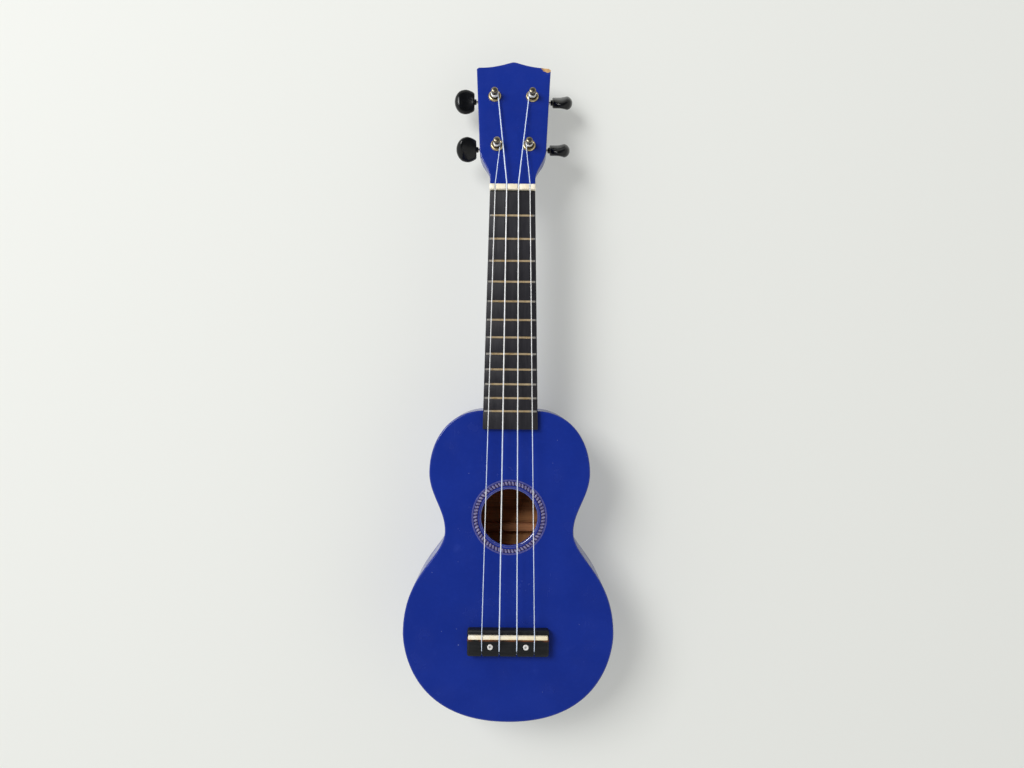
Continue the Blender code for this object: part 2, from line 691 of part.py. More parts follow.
def build_machine_plate(key, finishes, frame):
    # A flat plate behind the headstock with two bent-up ears that carry the worm shaft
    corner = 3 * MM
    inner = PLATE_HALF_WIDTH - corner
    outline = [
        (PLATE_HALF_WIDTH, PLATE_NEAR + corner), (PLATE_HALF_WIDTH, PLATE_FAR - corner),
        (inner, PLATE_FAR), (-inner, PLATE_FAR),
        (-PLATE_HALF_WIDTH, PLATE_FAR - corner), (-PLATE_HALF_WIDTH, PLATE_NEAR + corner),
        (-inner, PLATE_NEAR), (inner, PLATE_NEAR),
    ]
    low = MACHINE_PLATE_TOP - PLATE_GAUGE
    plate = solid(f"tuner_{key}_plate", extruded(outline, low, MACHINE_PLATE_TOP), finishes["plate"], frame)
    ear_half = 2.5 * MM
    root = low + PLATE_GAUGE / 2
    ear = [(WORM_ASIDE + ear_half, root), (WORM_ASIDE - ear_half, root)]
    for i in range(7):
        angle = math.pi + math.pi * i / 6
        ear.append((WORM_ASIDE + ear_half * math.cos(angle), -WORM_DROP + ear_half * math.sin(angle)))
    for name, start in (("left", -PLATE_HALF_WIDTH), ("right", PLATE_HALF_WIDTH - PLATE_GAUGE)):
        bm = extruded(ear, start, start + PLATE_GAUGE, "X")
        combine(plate, f"tuner_{key}_ear_{name}", bm, "UNION", frame)
    past = PLATE_HALF_WIDTH + MM
    bearing = extruded(circle(SHAFT_RADIUS + GAP, 12, (WORM_ASIDE, -WORM_DROP)), -past, past, "X")
    combine(plate, f"tuner_{key}_bearing_cutter", bearing, parent=frame)
    for name, place, radius, sides in (
            ("post", 0, POST_BORE, 14),
            ("near_screw", PLATE_NEAR + PLATE_SCREW_INSET, MM, 8),
            ("far_screw", PLATE_FAR - PLATE_SCREW_INSET, MM, 8)):
        hole = cylinder(radius, low - MM, MACHINE_PLATE_TOP + MM, sides, (0, place))
        combine(plate, f"tuner_{key}_{name}_hole_cutter", hole, parent=frame)


def tooth_half_width(height):
    # Half the tooth's thickness at a height above the pitch line: straight flanks at the pressure angle
    return TOOTH_SHARE * AXIAL_PITCH / 2 - height * math.tan(PRESSURE_ANGLE)


def gear_blank():
    # One tooth points at the worm, and each tooth slants by the worm's lead
    outline = []
    for tooth in range(GEAR_TEETH):
        middle = math.pi / 2 + 2 * math.pi * tooth / GEAR_TEETH
        for height, flank in ((-DEDENDUM, -1), (ADDENDUM, -1), (ADDENDUM, 1), (-DEDENDUM, 1)):
            radius = GEAR_PITCH_RADIUS + height
            angle = middle + flank * tooth_half_width(height) / GEAR_PITCH_RADIUS
            outline.append((radius * math.cos(angle), radius * math.sin(angle)))
    middle = -WORM_DROP
    bm = extruded(outline, middle - GEAR_THICKNESS / 2, middle + GEAR_THICKNESS / 2)
    for vert in bm.verts:
        slant = (vert.co.z - middle) * WORM_LEAD_SLOPE / GEAR_PITCH_RADIUS
        vert.co = Matrix.Rotation(slant, 3, "Z") @ vert.co
    return bm


def worm_shaft(side):
    # A single thread wound round the shaft. Each column of points runs along the shaft at one angle and
    # crosses the thread once per turn, a little further on than the column before it.
    columns = 10
    inner_end = -side * 6.6 * MM
    outer_end = side * (BUTTON_OFFSET + 7.4 * MM)
    low_end = min(inner_end, outer_end)
    high_end = max(inner_end, outer_end)
    crest = WORM_PITCH_RADIUS + ADDENDUM
    foot = tooth_half_width(-DEDENDUM)
    tip = tooth_half_width(ADDENDUM)
    bm = bmesh.new()
    rows = []
    for column in range(columns):
        angle = 2 * math.pi * column / columns
        course = [(low_end, SHAFT_RADIUS)]
        for turn in range(WORM_TURNS):
            middle = AXIAL_PITCH * (turn - WORM_TURNS / 2 + column / columns)
            course += [(middle - foot, SHAFT_RADIUS), (middle - tip, crest)]
            course += [(middle + tip, crest), (middle + foot, SHAFT_RADIUS)]
        course.append((high_end, SHAFT_RADIUS))
        rows.append([
            bm.verts.new((place, radius * math.cos(angle), radius * math.sin(angle)))
            for place, radius in course
        ])
    for row, after in zip(rows, rows[1:]):
        for i in range(len(row) - 1):
            bm.faces.new((row[i], row[i + 1], after[i + 1], after[i]))
    close_thread(bm, rows[-1], rows[0])
    bm.faces.new([row[0] for row in rows])
    bm.faces.new([row[-1] for row in rows])
    return bm


def close_thread(bm, last, first):
    # The last column meets the first one a whole turn, four points, further on. What is left over at each
    # end is the thread's run-out, closed by a fan of faces.
    for i in range(1, len(last) - 6):
        bm.faces.new((last[i], last[i + 1], first[i + 5], first[i + 4]))
    start = [last[0], *first[:6]]
    for near, far in zip(start, start[1:]):
        bm.faces.new((last[1], near, far))
    finish = [first[-1], *reversed(last[-6:])]
    for near, far in zip(finish, finish[1:]):
        bm.faces.new((first[-2], near, far))


def button_shape(side):
    # Rings along the shaft, each with its place, half width and half thickness: the blind bore, the collar,
    # then the body, round when seen from the front and waisted when seen from its edge
    bore = SHAFT_RADIUS + GAP
    shape = [(8 * MM, bore, bore)] + scaled([
        (-1.6, 1.55, 1.55), (-1.6, 2.2, 2.2), (0, 2.4, 2.4), (0, 7, 3.4), (0.7, 7.7, 3.8), (2.4, 8.8, 3.7),
        (4.8, 9.8, 3.3), (7.2, 10.3, 3.4), (9.8, 9.9, 4.1), (12.2, 8.8, 4.8), (14.2, 6.9, 4.1),
        (15.6, 4.5, 2.9), (16.4, 1.8, 1.4),
    ], MM)
    rings = []
    for place, half_width, half_thickness in shape:
        power = 1.0 if half_width == half_thickness else 0.8
        ring = []
        for i in range(BUTTON_SIDES):
            angle = 2 * math.pi * i / BUTTON_SIDES
            wide = math.copysign(abs(math.cos(angle)) ** power, math.cos(angle))
            thick = math.copysign(abs(math.sin(angle)) ** power, math.sin(angle))
            ring.append((side * (BUTTON_OFFSET + place), half_width * wide, half_thickness * thick))
        rings.append(ring)
    bm, rows = lofted(rings)
    return bm


# Strings

def smooth_run(points, steps):
    # A curve through all the points, with the given number of steps between each two
    ends = [points[0] * 2 - points[1], *points, points[-1] * 2 - points[-2]]
    run = []
    for before, start, end, after in zip(ends, ends[1:], ends[2:], ends[3:]):
        for i in range(steps):
            t = i / steps
            bend = (end - before) * t + (before * 2 - start * 5 + end * 4 - after) * t ** 2
            run.append(start + (bend + (start * 3 - before - end * 3 + after) * t ** 3) / 2)
    run.append(points[-1])
    return run


def winding(string):
    # From the nut's side the string meets the post's waist, winds up it and turns in towards the string hole
    across, along = string.tuner
    coil = POST_WAIST + GAP + string.radius
    inward = -string.side
    start = Vector(((string.at_nut - string.side * across) * inward, -along))
    first = math.atan2(start.y, start.x) + math.acos(coil / start.length)
    last = math.pi / 2 + 2 * math.pi * WINDING_TURNS
    leave = last - math.radians(110)
    count = round((leave - first) / (2 * math.pi) * POINTS_PER_TURN)
    polar = []
    for i in range(count + 1):
        angle = first + (leave - first) * i / count
        polar.append((coil, angle, WINDING_START + WINDING_PITCH * (angle - first) / (2 * math.pi)))
    height = polar[-1][2]
    # The way in: how far outside the coil, the degrees left to the string hole, and the share of the climb
    for outward, before, share in (
            (0.1, 80, 0.25), (0.6, 52, 0.6), (1.05, 29, 0.9), (1.05, 10, 1), (0.65, 0, 1)):
        level = height + (STRING_HOLE_HEIGHT - height) * share
        polar.append((coil + outward * MM, last - math.radians(before), level))
    polar.append((POST_WAIST + GAP, last, STRING_HOLE_HEIGHT))
    return [
        on_headstock(string.side * across + inward * r * math.cos(a), along + r * math.sin(a), level)
        for r, a, level in polar
    ]


def straight_run(string):
    # Up out of the knot's pocket, over the bridge's rear edge to the saddle, then on to the nut
    climb = scaled([(363.1, 60.8), (363.1, 62.6), (362.6, 64.5), (361.1, 66), (359.2, 66.8)], MM)
    path = smooth_run([Vector((string.at_saddle, from_nut(place), height)) for place, height in climb], 2)
    path.append(Vector((string.at_saddle, from_nut(SADDLE_PLACE), STRING_AT_SADDLE)))
    path.append(Vector((string.at_nut, NUT_Y + NUT_LENGTH + 0.4 * MM, STRING_AT_NUT)))
    return path


def least_gap(coil, radius):
    # Least clear distance between turns: pairs of points at least half a turn apart along the winding
    apart = POINTS_PER_TURN // 2
    least = min(
        (coil[i] - coil[j]).length
        for i in range(len(coil)) for j in range(i + apart, len(coil))
    )
    return least - 2 * radius


def build_string(key, finishes):
    string = STRINGS[key]
    coil = winding(string)
    path = straight_run(string) + coil
    data = bpy.data.curves.new(f"string_{key}", "CURVE")
    data.dimensions = "3D"
    data.bevel_depth = string.radius
    data.bevel_resolution = 1
    data.use_fill_caps = True
    spline = data.splines.new("POLY")
    spline.points.add(len(path) - 1)
    for point, place in zip(spline.points, path):
        point.co = (*place, 1)
    data.materials.append(finishes["string"])
    link_object(f"string_{key}", data, None)
    print(f"string_{key}: least gap between turns {least_gap(coil, string.radius) / MM:.2f} mm")


def make_finishes():
    return {
        "top": material("blue_lacquer_top", (0.012, 0.028, 0.28), 0.18),
        "back": material("blue_lacquer_back", (0.012, 0.028, 0.28), 0.2),
        "side": material("blue_lacquer_side", (0.012, 0.028, 0.28), 0.2),
        "neck": material("blue_lacquer_neck", (0.012, 0.028, 0.28), 0.2),
        "inner_wood": material("inner_wood", (0.3, 0.16, 0.08), 0.75),
        "fretboard": material("black_stained_maple", (0.03, 0.027, 0.026), 0.55),
        "fret": material("nickel_silver", (0.62, 0.52, 0.36), 0.3, 1.0),
        "bone": material("cream_plastic", (0.83, 0.76, 0.58), 0.4),
        "bridge": material("black_stained_wood", (0.024, 0.021, 0.02), 0.5),
        "cap": material("white_plastic", (0.78, 0.77, 0.74), 0.35),
        "steel": material("steel", (0.5, 0.5, 0.5), 0.35, 1.0),
        "bushing": material("gilt_brass", (0.72, 0.56, 0.3), 0.25, 1.0),
        "plate": material("plated_steel", (0.6, 0.59, 0.57), 0.25, 1.0),
        "post": material("plated_brass", (0.66, 0.62, 0.54), 0.22, 1.0),
        "gear": material("brass", (0.6, 0.43, 0.18), 0.3, 1.0),
        "button": material("black_plastic", (0.012, 0.012, 0.013), 0.2),
        "string": material("clear_nylon", (0.75, 0.77, 0.8), 0.25),
    }


def main():
    clear_scene()
    finishes = make_finishes()
    build_plates(finishes)
    build_sides(finishes)
    build_blocks(finishes)
    build_braces(finishes)
    neck = build_neck(finishes)
    build_fretboard(finishes)
    build_frets(finishes)
    build_nut(finishes)
    build_bridge(finishes)
    for key in STRINGS:
        build_tuner(key, finishes, neck)
        build_string(key, finishes)


main()
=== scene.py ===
# Blue soprano ukulele, lying on its back and seen from straight above
import json
import random
from math import acos, atan2, copysign, cos, hypot, pi, radians, sin, tan

import bmesh
import bpy
from mathutils import Matrix, Vector, noise
from mathutils.geometry import interpolate_bezier


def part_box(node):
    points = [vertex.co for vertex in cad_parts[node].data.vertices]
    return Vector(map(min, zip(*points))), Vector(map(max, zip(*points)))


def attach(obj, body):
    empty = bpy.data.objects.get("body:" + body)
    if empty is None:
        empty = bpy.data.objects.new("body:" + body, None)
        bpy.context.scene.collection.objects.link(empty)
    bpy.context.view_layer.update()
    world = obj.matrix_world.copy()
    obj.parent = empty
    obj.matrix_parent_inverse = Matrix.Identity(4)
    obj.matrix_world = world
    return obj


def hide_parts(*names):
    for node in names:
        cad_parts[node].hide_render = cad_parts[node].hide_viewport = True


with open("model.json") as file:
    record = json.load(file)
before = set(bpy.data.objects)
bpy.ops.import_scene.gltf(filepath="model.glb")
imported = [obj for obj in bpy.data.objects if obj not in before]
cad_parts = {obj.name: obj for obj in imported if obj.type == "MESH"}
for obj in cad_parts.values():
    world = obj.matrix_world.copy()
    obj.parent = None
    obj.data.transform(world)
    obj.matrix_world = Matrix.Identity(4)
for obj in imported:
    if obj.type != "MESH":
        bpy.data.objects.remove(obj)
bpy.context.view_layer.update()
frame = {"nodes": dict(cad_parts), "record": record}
nodes = frame["nodes"]

# Lengths below are millimetres. A place is its X, its distance from the nut and its height.
mm = 0.001
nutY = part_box("nut")[0][1] - 0.3 * mm
rootBody = "instrument"
sharpAngle = radians(38)
cornerAngle = radians(50)


def spot(across, fromNut, height):
    return Vector((across * mm, nutY - fromNut * mm, height * mm))


# Nodes of shaders and of shapes

class Wire:
    # One socket of a node tree. Arithmetic on it adds Math nodes, and node() adds any other node.
    def __init__(self, tree, socket=None):
        self.tree = tree
        self.socket = socket

    def node(self, kind, settings=None, sockets=None, out=0):
        made = self.tree.nodes.new(kind if "Node" in kind else "ShaderNode" + kind)
        for name, value in (settings or {}).items():
            if name == "stops":
                setStops(made.color_ramp, value)
            else:
                setattr(made, name, value)
        for name, value in (sockets or {}).items():
            if isinstance(value, (Wire, list)):
                for wire in value if isinstance(value, list) else [value]:
                    self.tree.links.new(wire.socket, made.inputs[name])
            else:
                made.inputs[name].default_value = value
        return Wire(self.tree, made.outputs[out])

    def math(self, operation, *values):
        return self.node("Math", {"operation": operation}, dict(enumerate(values)))

    def __add__(self, other):
        return self.math("ADD", self, other)

    def __sub__(self, other):
        return self.math("SUBTRACT", self, other)

    def __rsub__(self, other):
        return self.math("SUBTRACT", other, self)

    def __mul__(self, other):
        return self.math("MULTIPLY", self, other)

    __radd__ = __add__
    __rmul__ = __mul__

    def above(self, low, high):
        # 0 below low and 1 above high
        return self.node("MapRange", {"interpolation_type": "SMOOTHSTEP"},
                         {"Value": self, "From Min": low, "From Max": high})

    def blend(self, first, second):
        # The first colour where this is 0 and the second where it is 1
        return self.node("Mix", {"data_type": "RGBA"}, {0: self, 6: opaque(first), 7: opaque(second)}, out=2)

    def axis(self, name):
        return self.node("SeparateXYZ", {}, {0: self}, out="XYZ".index(name))


def opaque(colour):
    # A colour's red, green and blue with full alpha, or a wire as it is
    return colour if isinstance(colour, Wire) else (*colour, 1.0)


def setStops(ramp, stops):
    while len(ramp.elements) < len(stops):
        ramp.elements.new(1.0)
    for element, (place, colour) in zip(ramp.elements, stops):
        element.position = place
        element.color = opaque(colour)


def noiseOn(place, scale, detail=3.0):
    return place.node("TexNoise", {}, {"Vector": place, "Scale": scale, "Detail": detail})


def stretched(place, scale):
    return place.node("Mapping", {}, {"Vector": place, "Scale": scale})


def bumped(height, strength, distance):
    return height.node("Bump", {}, {"Height": height, "Strength": strength, "Distance": distance})


def finishOf(name, fixed, paint):
    # fixed holds the shader's plain values; paint returns the sockets that vary over the surface
    made = bpy.data.materials.new(name)
    made.use_nodes = True
    shader = made.node_tree.nodes["Principled BSDF"]
    for socket, value in fixed.items():
        shader.inputs[socket].default_value = value
    pen = Wire(made.node_tree)
    place = pen.node("TexCoord", {}, {}, out=3)
    for socket, wire in paint(place).items():
        made.node_tree.links.new(wire.socket, shader.inputs[socket])
    return made


print("finishes")

lacquer = {
    "deep": (0.0058, 0.0235, 0.238),
    "light": (0.0082, 0.029, 0.274),
    "worn": (0.03, 0.06, 0.36),
    "speck": (0.22, 0.26, 0.5),
    "roughness": 0.16,
    # Of each kind of mark: the noise's scale and detail, where it starts and is full, and its strength
    "cloud": (19.0, 5.0, 0.35, 0.68, 0.7),
    "fleck": (420.0, 2.0, 0.45, 0.75, 0.35),
    "rubbed": (75.0, 6.0, 0.66, 0.8, 0.3),
    "specks": (560.0, 0.0, 0.915, 0.93, 0.7),
    "dull": (60.0, 4.0, 0.3, 0.8, 0.14),
    "hairlines": (900.0, 2.0, 0.62, 0.8, 0.04),
}


def marks(place, scale, detail, low, high, strength):
    return noiseOn(place, scale, detail).above(low, high) * strength


def paintLacquer(place):
    cloud = marks(place, *lacquer["cloud"]) + marks(place, *lacquer["fleck"])
    colour = cloud.blend(lacquer["deep"], lacquer["light"])
    colour = marks(place, *lacquer["rubbed"]).blend(colour, lacquer["worn"])
    colour = marks(place, *lacquer["specks"]).blend(colour, lacquer["speck"])
    hairlines = marks(stretched(place, (1.0, 0.05, 1.0)), *lacquer["hairlines"])
    return {"Base Color": colour,
            "Roughness": marks(place, *lacquer["dull"]) + lacquer["roughness"] + hairlines,
            "Normal": bumped(noiseOn(place, 240.0, 2.0), 0.1, 0.0004)}


def woodPaint(dark, light, grainWay, scale, roughness, pores=0.5):
    def paint(place):
        grain = noiseOn(stretched(place, grainWay), scale, 6.0)
        fine = noiseOn(stretched(place, grainWay), scale * 6.0, 3.0)
        colour = (grain * 0.65 + fine * 0.35).above(0.32, 0.68).blend(dark, light)
        holes = noiseOn(stretched(place, grainWay), scale * 9.0, 1.0).above(0.66, 0.74)
        colour = (holes * pores).blend(colour, [value * 0.35 for value in dark])
        return {"Base Color": colour, "Roughness": fine.above(0.3, 0.7) * 0.15 + roughness,
                "Normal": bumped(fine - holes, 0.3, 0.0003)}
    return paint


def tinted(sockets, mask, colour):
    # The same finish, in another colour where the mask is 1
    return {**sockets, "Base Color": mask.blend(sockets["Base Color"], colour)}


def beyond(place, fromNut):
    # How far a point lies past a distance from the nut
    return place.axis("Y") * -1.0 + (nutY - fromNut * mm)


# Painted reflection: a brown strip on the black bridge behind the saddle stands in for the saddle's warm
# light on the wood
paintedSaddleGlow = {"start": 351.1, "width": 2.3, "patchy": (130.0, 3.0, 0.3, 0.62, 0.9),
              "colour": (0.2, 0.06, 0.016)}


def bridgePaint(place):
    # Black wood, with a painted warm reflection of the cream saddle as a brown strip along the saddle's rear
    # edge
    edge = beyond(place, paintedSaddleGlow["start"])
    width = paintedSaddleGlow["width"] * mm
    strip = edge.above(0.0, 0.1 * mm) * (1.0 - edge.above(width * 0.6, width))
    patchy = marks(place, *paintedSaddleGlow["patchy"])
    return tinted(plainBridge(place), strip * patchy, paintedSaddleGlow["colour"])


# The treble side's yellow is the plastic's own tint; the rear edge's orange is painted shade with a warm glow
saddleTintAndShade = {"rearEdge": 350.2, "rearWidth": 0.9, "rearShadeColour": (0.8, 0.5, 0.2),
              "patchy": (60.0, 2.0, 0.2, 0.7, 0.6), "least": 0.3,
              "treble": (-30.0, 35.0), "trebleShare": 0.45, "trebleColour": (0.92, 0.78, 0.48)}


def saddlePaint(place):
    # Cream plastic, yellower towards the treble side, and orange along its rear edge as painted shade with a
    # warm glow
    first, last = saddleTintAndShade["treble"]
    treble = place.axis("X").above(first * mm, last * mm) * saddleTintAndShade["trebleShare"]
    sockets = tinted(plainCream(place), treble, saddleTintAndShade["trebleColour"])
    # Painted shade and warm glow along the saddle's rear edge
    rear = beyond(place, saddleTintAndShade["rearEdge"]).above(0.0, saddleTintAndShade["rearWidth"] * mm)
    patchy = marks(place, *saddleTintAndShade["patchy"]) + saddleTintAndShade["least"]
    return tinted(sockets, rear * patchy, saddleTintAndShade["rearShadeColour"])


fretEndTone = {"ends": (14.0, 17.0), "colour": (0.53, 0.5, 0.45)}


def fretPaint(place):
    # Gold between the strings and dull grey at both ends
    across = place.axis("X")
    start, end = fretEndTone["ends"]
    ends = (across * across).above((start * mm) ** 2, (end * mm) ** 2)
    return tinted(plainFret(place), ends, fretEndTone["colour"])


def plainPaint(dark, light, scale, roughness, spread, relief=0.06):
    def paint(place):
        cloud = noiseOn(place, scale, 4.0)
        fine = noiseOn(place, scale * 5.0, 2.0)
        return {"Base Color": cloud.above(0.3, 0.7).blend(dark, light),
                "Roughness": fine.above(0.35, 0.75) * spread + roughness,
                "Normal": bumped(fine, relief, 0.0002)}
    return paint


def brushedPaint(dark, light, way, scale, roughness, spread):
    # Metal with fine lines along one direction and faint tarnish
    def paint(place):
        lines = noiseOn(stretched(place, way), scale, 3.0)
        tarnish = noiseOn(place, 260.0, 4.0).above(0.4, 0.75)
        return {"Base Color": tarnish.blend(light, dark),
                "Roughness": lines.above(0.3, 0.7) * spread + tarnish * 0.1 + roughness,
                "Normal": bumped(lines, 0.08, 0.0001)}
    return paint


def plainFinish(name, fixed, *look):
    return finishOf(name, fixed, plainPaint(*look))


def woodFinish(name, specular, *look):
    return finishOf(name, {"Specular IOR Level": specular}, woodPaint(*look))


metal = {"Metallic": 1.0}
alongNeck = (1.0, 0.06, 1.0)
acrossNeck = (0.06, 1.0, 1.0)
blueLacquer = finishOf("blueLacquer", {"Specular IOR Level": 0.42}, paintLacquer)
lipLacquer = finishOf("lipLacquer", {
    "Specular IOR Level": 0.8, "Coat Weight": 1.0, "Coat Roughness": 0.08, "Coat IOR": 1.9}, paintLacquer)
innerWood = woodFinish("innerWood", 0.15, (0.34, 0.15, 0.065), (0.68, 0.33, 0.14), acrossNeck, 120.0, 0.65)
braceWood = woodFinish("braceWood", 0.15, (0.35, 0.14, 0.07), (0.66, 0.3, 0.14), acrossNeck, 200.0, 0.7)
boardWood = woodFinish("boardWood", 0.3, (0.011, 0.0105, 0.0145), (0.022, 0.0208, 0.0255), alongNeck,
                       300.0, 0.38)
plainBridge = woodPaint((0.0036, 0.0042, 0.0052), (0.0105, 0.0112, 0.0125), acrossNeck, 500.0, 0.4)
bridgeWood = finishOf("bridgeWood", {"Specular IOR Level": 0.3}, bridgePaint)
chipWood = woodFinish("chipWood", 0.5, (0.33, 0.17, 0.06), (0.72, 0.45, 0.2), alongNeck, 260.0, 0.75)
creamPlastic = plainFinish("creamPlastic", {}, (0.87, 0.77, 0.57), (0.94, 0.87, 0.72), 240.0, 0.3, 0.15)
plainCream = plainPaint((0.87, 0.78, 0.58), (0.94, 0.88, 0.73), 240.0, 0.3, 0.15)
saddlePlastic = finishOf("saddlePlastic", {}, saddlePaint)
whitePlastic = plainFinish("whitePlastic", {}, (0.66, 0.65, 0.63), (0.78, 0.77, 0.75), 500.0, 0.3, 0.1)
plainFret = brushedPaint((0.5, 0.34, 0.15), (0.85, 0.66, 0.41), acrossNeck, 2200.0, 0.14, 0.1)
fretMetal = finishOf("fretMetal", {"Metallic": 0.6}, fretPaint)
giltBrass = plainFinish("giltBrass", metal, (0.36, 0.28, 0.15), (0.64, 0.53, 0.33), 420.0, 0.2, 0.16)
platedSteel = plainFinish("platedSteel", metal, (0.42, 0.39, 0.34), (0.66, 0.63, 0.57), 400.0, 0.14, 0.16)
agedBrass = plainFinish("agedBrass", metal, (0.15, 0.13, 0.09), (0.32, 0.285, 0.22), 420.0, 0.24, 0.16)
brass = finishOf("brass", metal, brushedPaint(
    (0.42, 0.27, 0.09), (0.66, 0.48, 0.2), (1.0, 1.0, 0.1), 1800.0, 0.26, 0.2))
blackPlastic = plainFinish("blackPlastic", {"Specular IOR Level": 0.3},
                           (0.0024, 0.003, 0.0036), (0.0055, 0.006, 0.007), 300.0, 0.16, 0.1)
lavenderInlay = plainFinish("lavenderInlay", {}, (0.05, 0.056, 0.23), (0.1, 0.1, 0.3), 600.0, 0.3, 0.1)
dimInlay = plainFinish("dimInlay", {}, (0.034, 0.042, 0.2), (0.075, 0.08, 0.27), 420.0, 0.3, 0.1)
# Painted shade: the grey floor of each cap's recess stands in for the shade in the recess
shadedCapFloor = plainFinish("shadedCapFloor", {}, (0.3, 0.3, 0.3), (0.45, 0.45, 0.44), 500.0, 0.5, 0.2)
beadInlay = plainFinish("beadInlay", {}, (0.11, 0.1, 0.25), (0.28, 0.26, 0.43), 380.0, 0.3, 0.1)
maroonInlay = plainFinish("maroonInlay", {}, (0.016, 0.01, 0.06), (0.03, 0.02, 0.1), 500.0, 0.3, 0.1)


# Building blocks

def shaded(mesh):
    mesh.shade_smooth()
    mesh.set_sharp_from_angle(angle=sharpAngle)


def placed(name, data):
    made = bpy.data.objects.new(name, data)
    bpy.context.scene.collection.objects.link(made)
    return made


def meshObject(name, bm, *finishes):
    bmesh.ops.recalc_face_normals(bm, faces=bm.faces)
    mesh = bpy.data.meshes.new(name)
    bm.to_mesh(mesh)
    bm.free()
    for finish in finishes:
        mesh.materials.append(finish)
    shaded(mesh)
    return placed(name, mesh)


def enlist(made, slot, *replaced, body=rootBody):
    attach(made, body)
    if replaced:
        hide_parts(*replaced)


def bake(made):
    # Turns the object and its modifiers into one plain mesh
    graph = bpy.context.evaluated_depsgraph_get()
    mesh = bpy.data.meshes.new_from_object(made.evaluated_get(graph))
    made.modifiers.clear()
    made.data = mesh
    shaded(mesh)
    return made


def carve(made, cutters):
    for cutter in cutters:
        modifier = made.modifiers.new(cutter.name, "BOOLEAN")
        modifier.operation = "DIFFERENCE"
        modifier.solver = "EXACT"
        modifier.object = cutter
    bake(made)
    for cutter in cutters:
        bpy.data.objects.remove(cutter)
    return made


def courses(bm, loops, closed=False):
    # Walls between loops that have the same count of points, loop by loop
    rows = [[bm.verts.new(point) for point in loop] for loop in loops]
    pairs = list(zip(rows, rows[1:]))
    if closed:
        pairs.append((rows[-1], rows[0]))
    for row, after in pairs:
        for i in range(len(row)):
            bm.faces.new((row[i - 1], row[i], after[i], after[i - 1]))
    return rows


def skin(rings, closed=False, capped=True):
    bm = bmesh.new()
    rows = courses(bm, rings, closed)
    if capped and not closed:
        bm.faces.new(rows[0])
        bm.faces.new(rows[-1])
    return bm, rows


def eased(points, radius, steps=3):
    # Rounds the corners of a closed flat outline
    outline = []
    for i, point in enumerate(points):
        corner = Vector(point)
        before = Vector(points[i - 1]) - corner
        after = Vector(points[(i + 1) % len(points)]) - corner
        start = corner + before * min(radius / before.length, 0.48)
        end = corner + after * min(radius / after.length, 0.48)
        for k in range(steps + 1):
            t = k / steps
            outline.append(tuple(start * (1 - t) ** 2 + corner * 2 * t * (1 - t) + end * t * t))
    return outline


def circle(count):
    angles = [2 * pi * i / count for i in range(count)]
    return [(cos(angle), sin(angle)) for angle in angles]


def rounded(bm, edges, width, segments, clamp=False):
    bmesh.ops.bevel(bm, geom=edges, offset=width, segments=segments, profile=0.5, affect="EDGES",
                    clamp_overlap=clamp)


def carried(bm, matrix):
    bmesh.ops.transform(bm, matrix=matrix, verts=bm.verts)
    return bm


def turned(profile, steps, matrix):
    # Spins a closed (radius, height) outline round the matrix's own Z axis
    rings = [[matrix @ Vector((r * x, r * y, z)) for r, z in profile] for x, y in circle(steps)]
    bm = skin(rings, closed=True)[0]
    bmesh.ops.remove_doubles(bm, verts=bm.verts, dist=0.0005 * mm)
    loose = [edge for edge in bm.edges if not edge.link_faces]
    bmesh.ops.delete(bm, geom=loose, context="EDGES")
    return bm


def rod(radius, low, high, steps, matrix):
    return turned([(0, low), (radius, low), (radius, high), (0, high)], steps, matrix)


def slab(outline, low, high, matrix, rounding=0.0, segments=2):
    # Extrudes a flat outline along the matrix's own Z axis and rounds the edges of both faces
    bm = bmesh.new()
    face = bm.faces.new([bm.verts.new((x, y, low)) for x, y in outline])
    grown = bmesh.ops.extrude_face_region(bm, geom=[face])
    moved = [item for item in grown["geom"] if isinstance(item, bmesh.types.BMVert)]
    bmesh.ops.translate(bm, vec=(0, 0, high - low), verts=moved)
    if rounding:
        rims = [edge for edge in bm.edges if abs(edge.verts[0].co.z - edge.verts[1].co.z) < 1e-6]
        rounded(bm, rims, rounding, segments)
    return carried(bm, matrix)


def joined(parts):
    whole = bmesh.new()
    for part in parts:
        bmesh.ops.recalc_face_normals(part, faces=part.faces)
        held = bpy.data.meshes.new("held")
        part.to_mesh(held)
        part.free()
        whole.from_mesh(held)
        bpy.data.meshes.remove(held)
    return whole


def softened(name, finish, width, segments=2):
    # A copy of a CAD node's mesh with its triangles joined up again and its edges rounded
    bm = bmesh.new()
    bm.from_mesh(nodes[name].data)
    bmesh.ops.remove_doubles(bm, verts=bm.verts, dist=0.002 * mm)
    bmesh.ops.dissolve_limit(bm, angle_limit=radians(1), verts=bm.verts, edges=bm.edges)
    corners = [edge for edge in bm.edges if edge.is_manifold and edge.calc_face_angle() > cornerAngle]
    rounded(bm, corners, width * mm, segments, True)
    made = meshObject(name + "Dressed", bm, finish)
    enlist(made, slotOf[name], name)


slotOf = {part["node"]: part["material_slot"] for part in frame["record"]["subparts"]}

print("body")

bodyShape = {
    "depth": 58.0,
    "plate": 2.2,
    "edgeRound": 1.2,
    "edgeFlat": 0.4,
    "seam": 0.02,
    "holeCentre": 257.1,
    "holeRadius": 22.2,
    "holeRound": 1.0,
    "holeFlat": 0.3,
    "holeSteps": 128,
    # Half width, distance from the nut, and the lengths of the curve's handles before and after it
    "anchors": [(20.0, 172.7, 0.0, 29.0), (63.7, 222.0, 25.0, 18.0), (50.9, 268.6, 17.0, 21.0),
                (83.5, 349.6, 47.8, 9.3), (0.0, 419.5, 78.2, 0.0)],
    "steps": (34, 28, 42, 52),
}


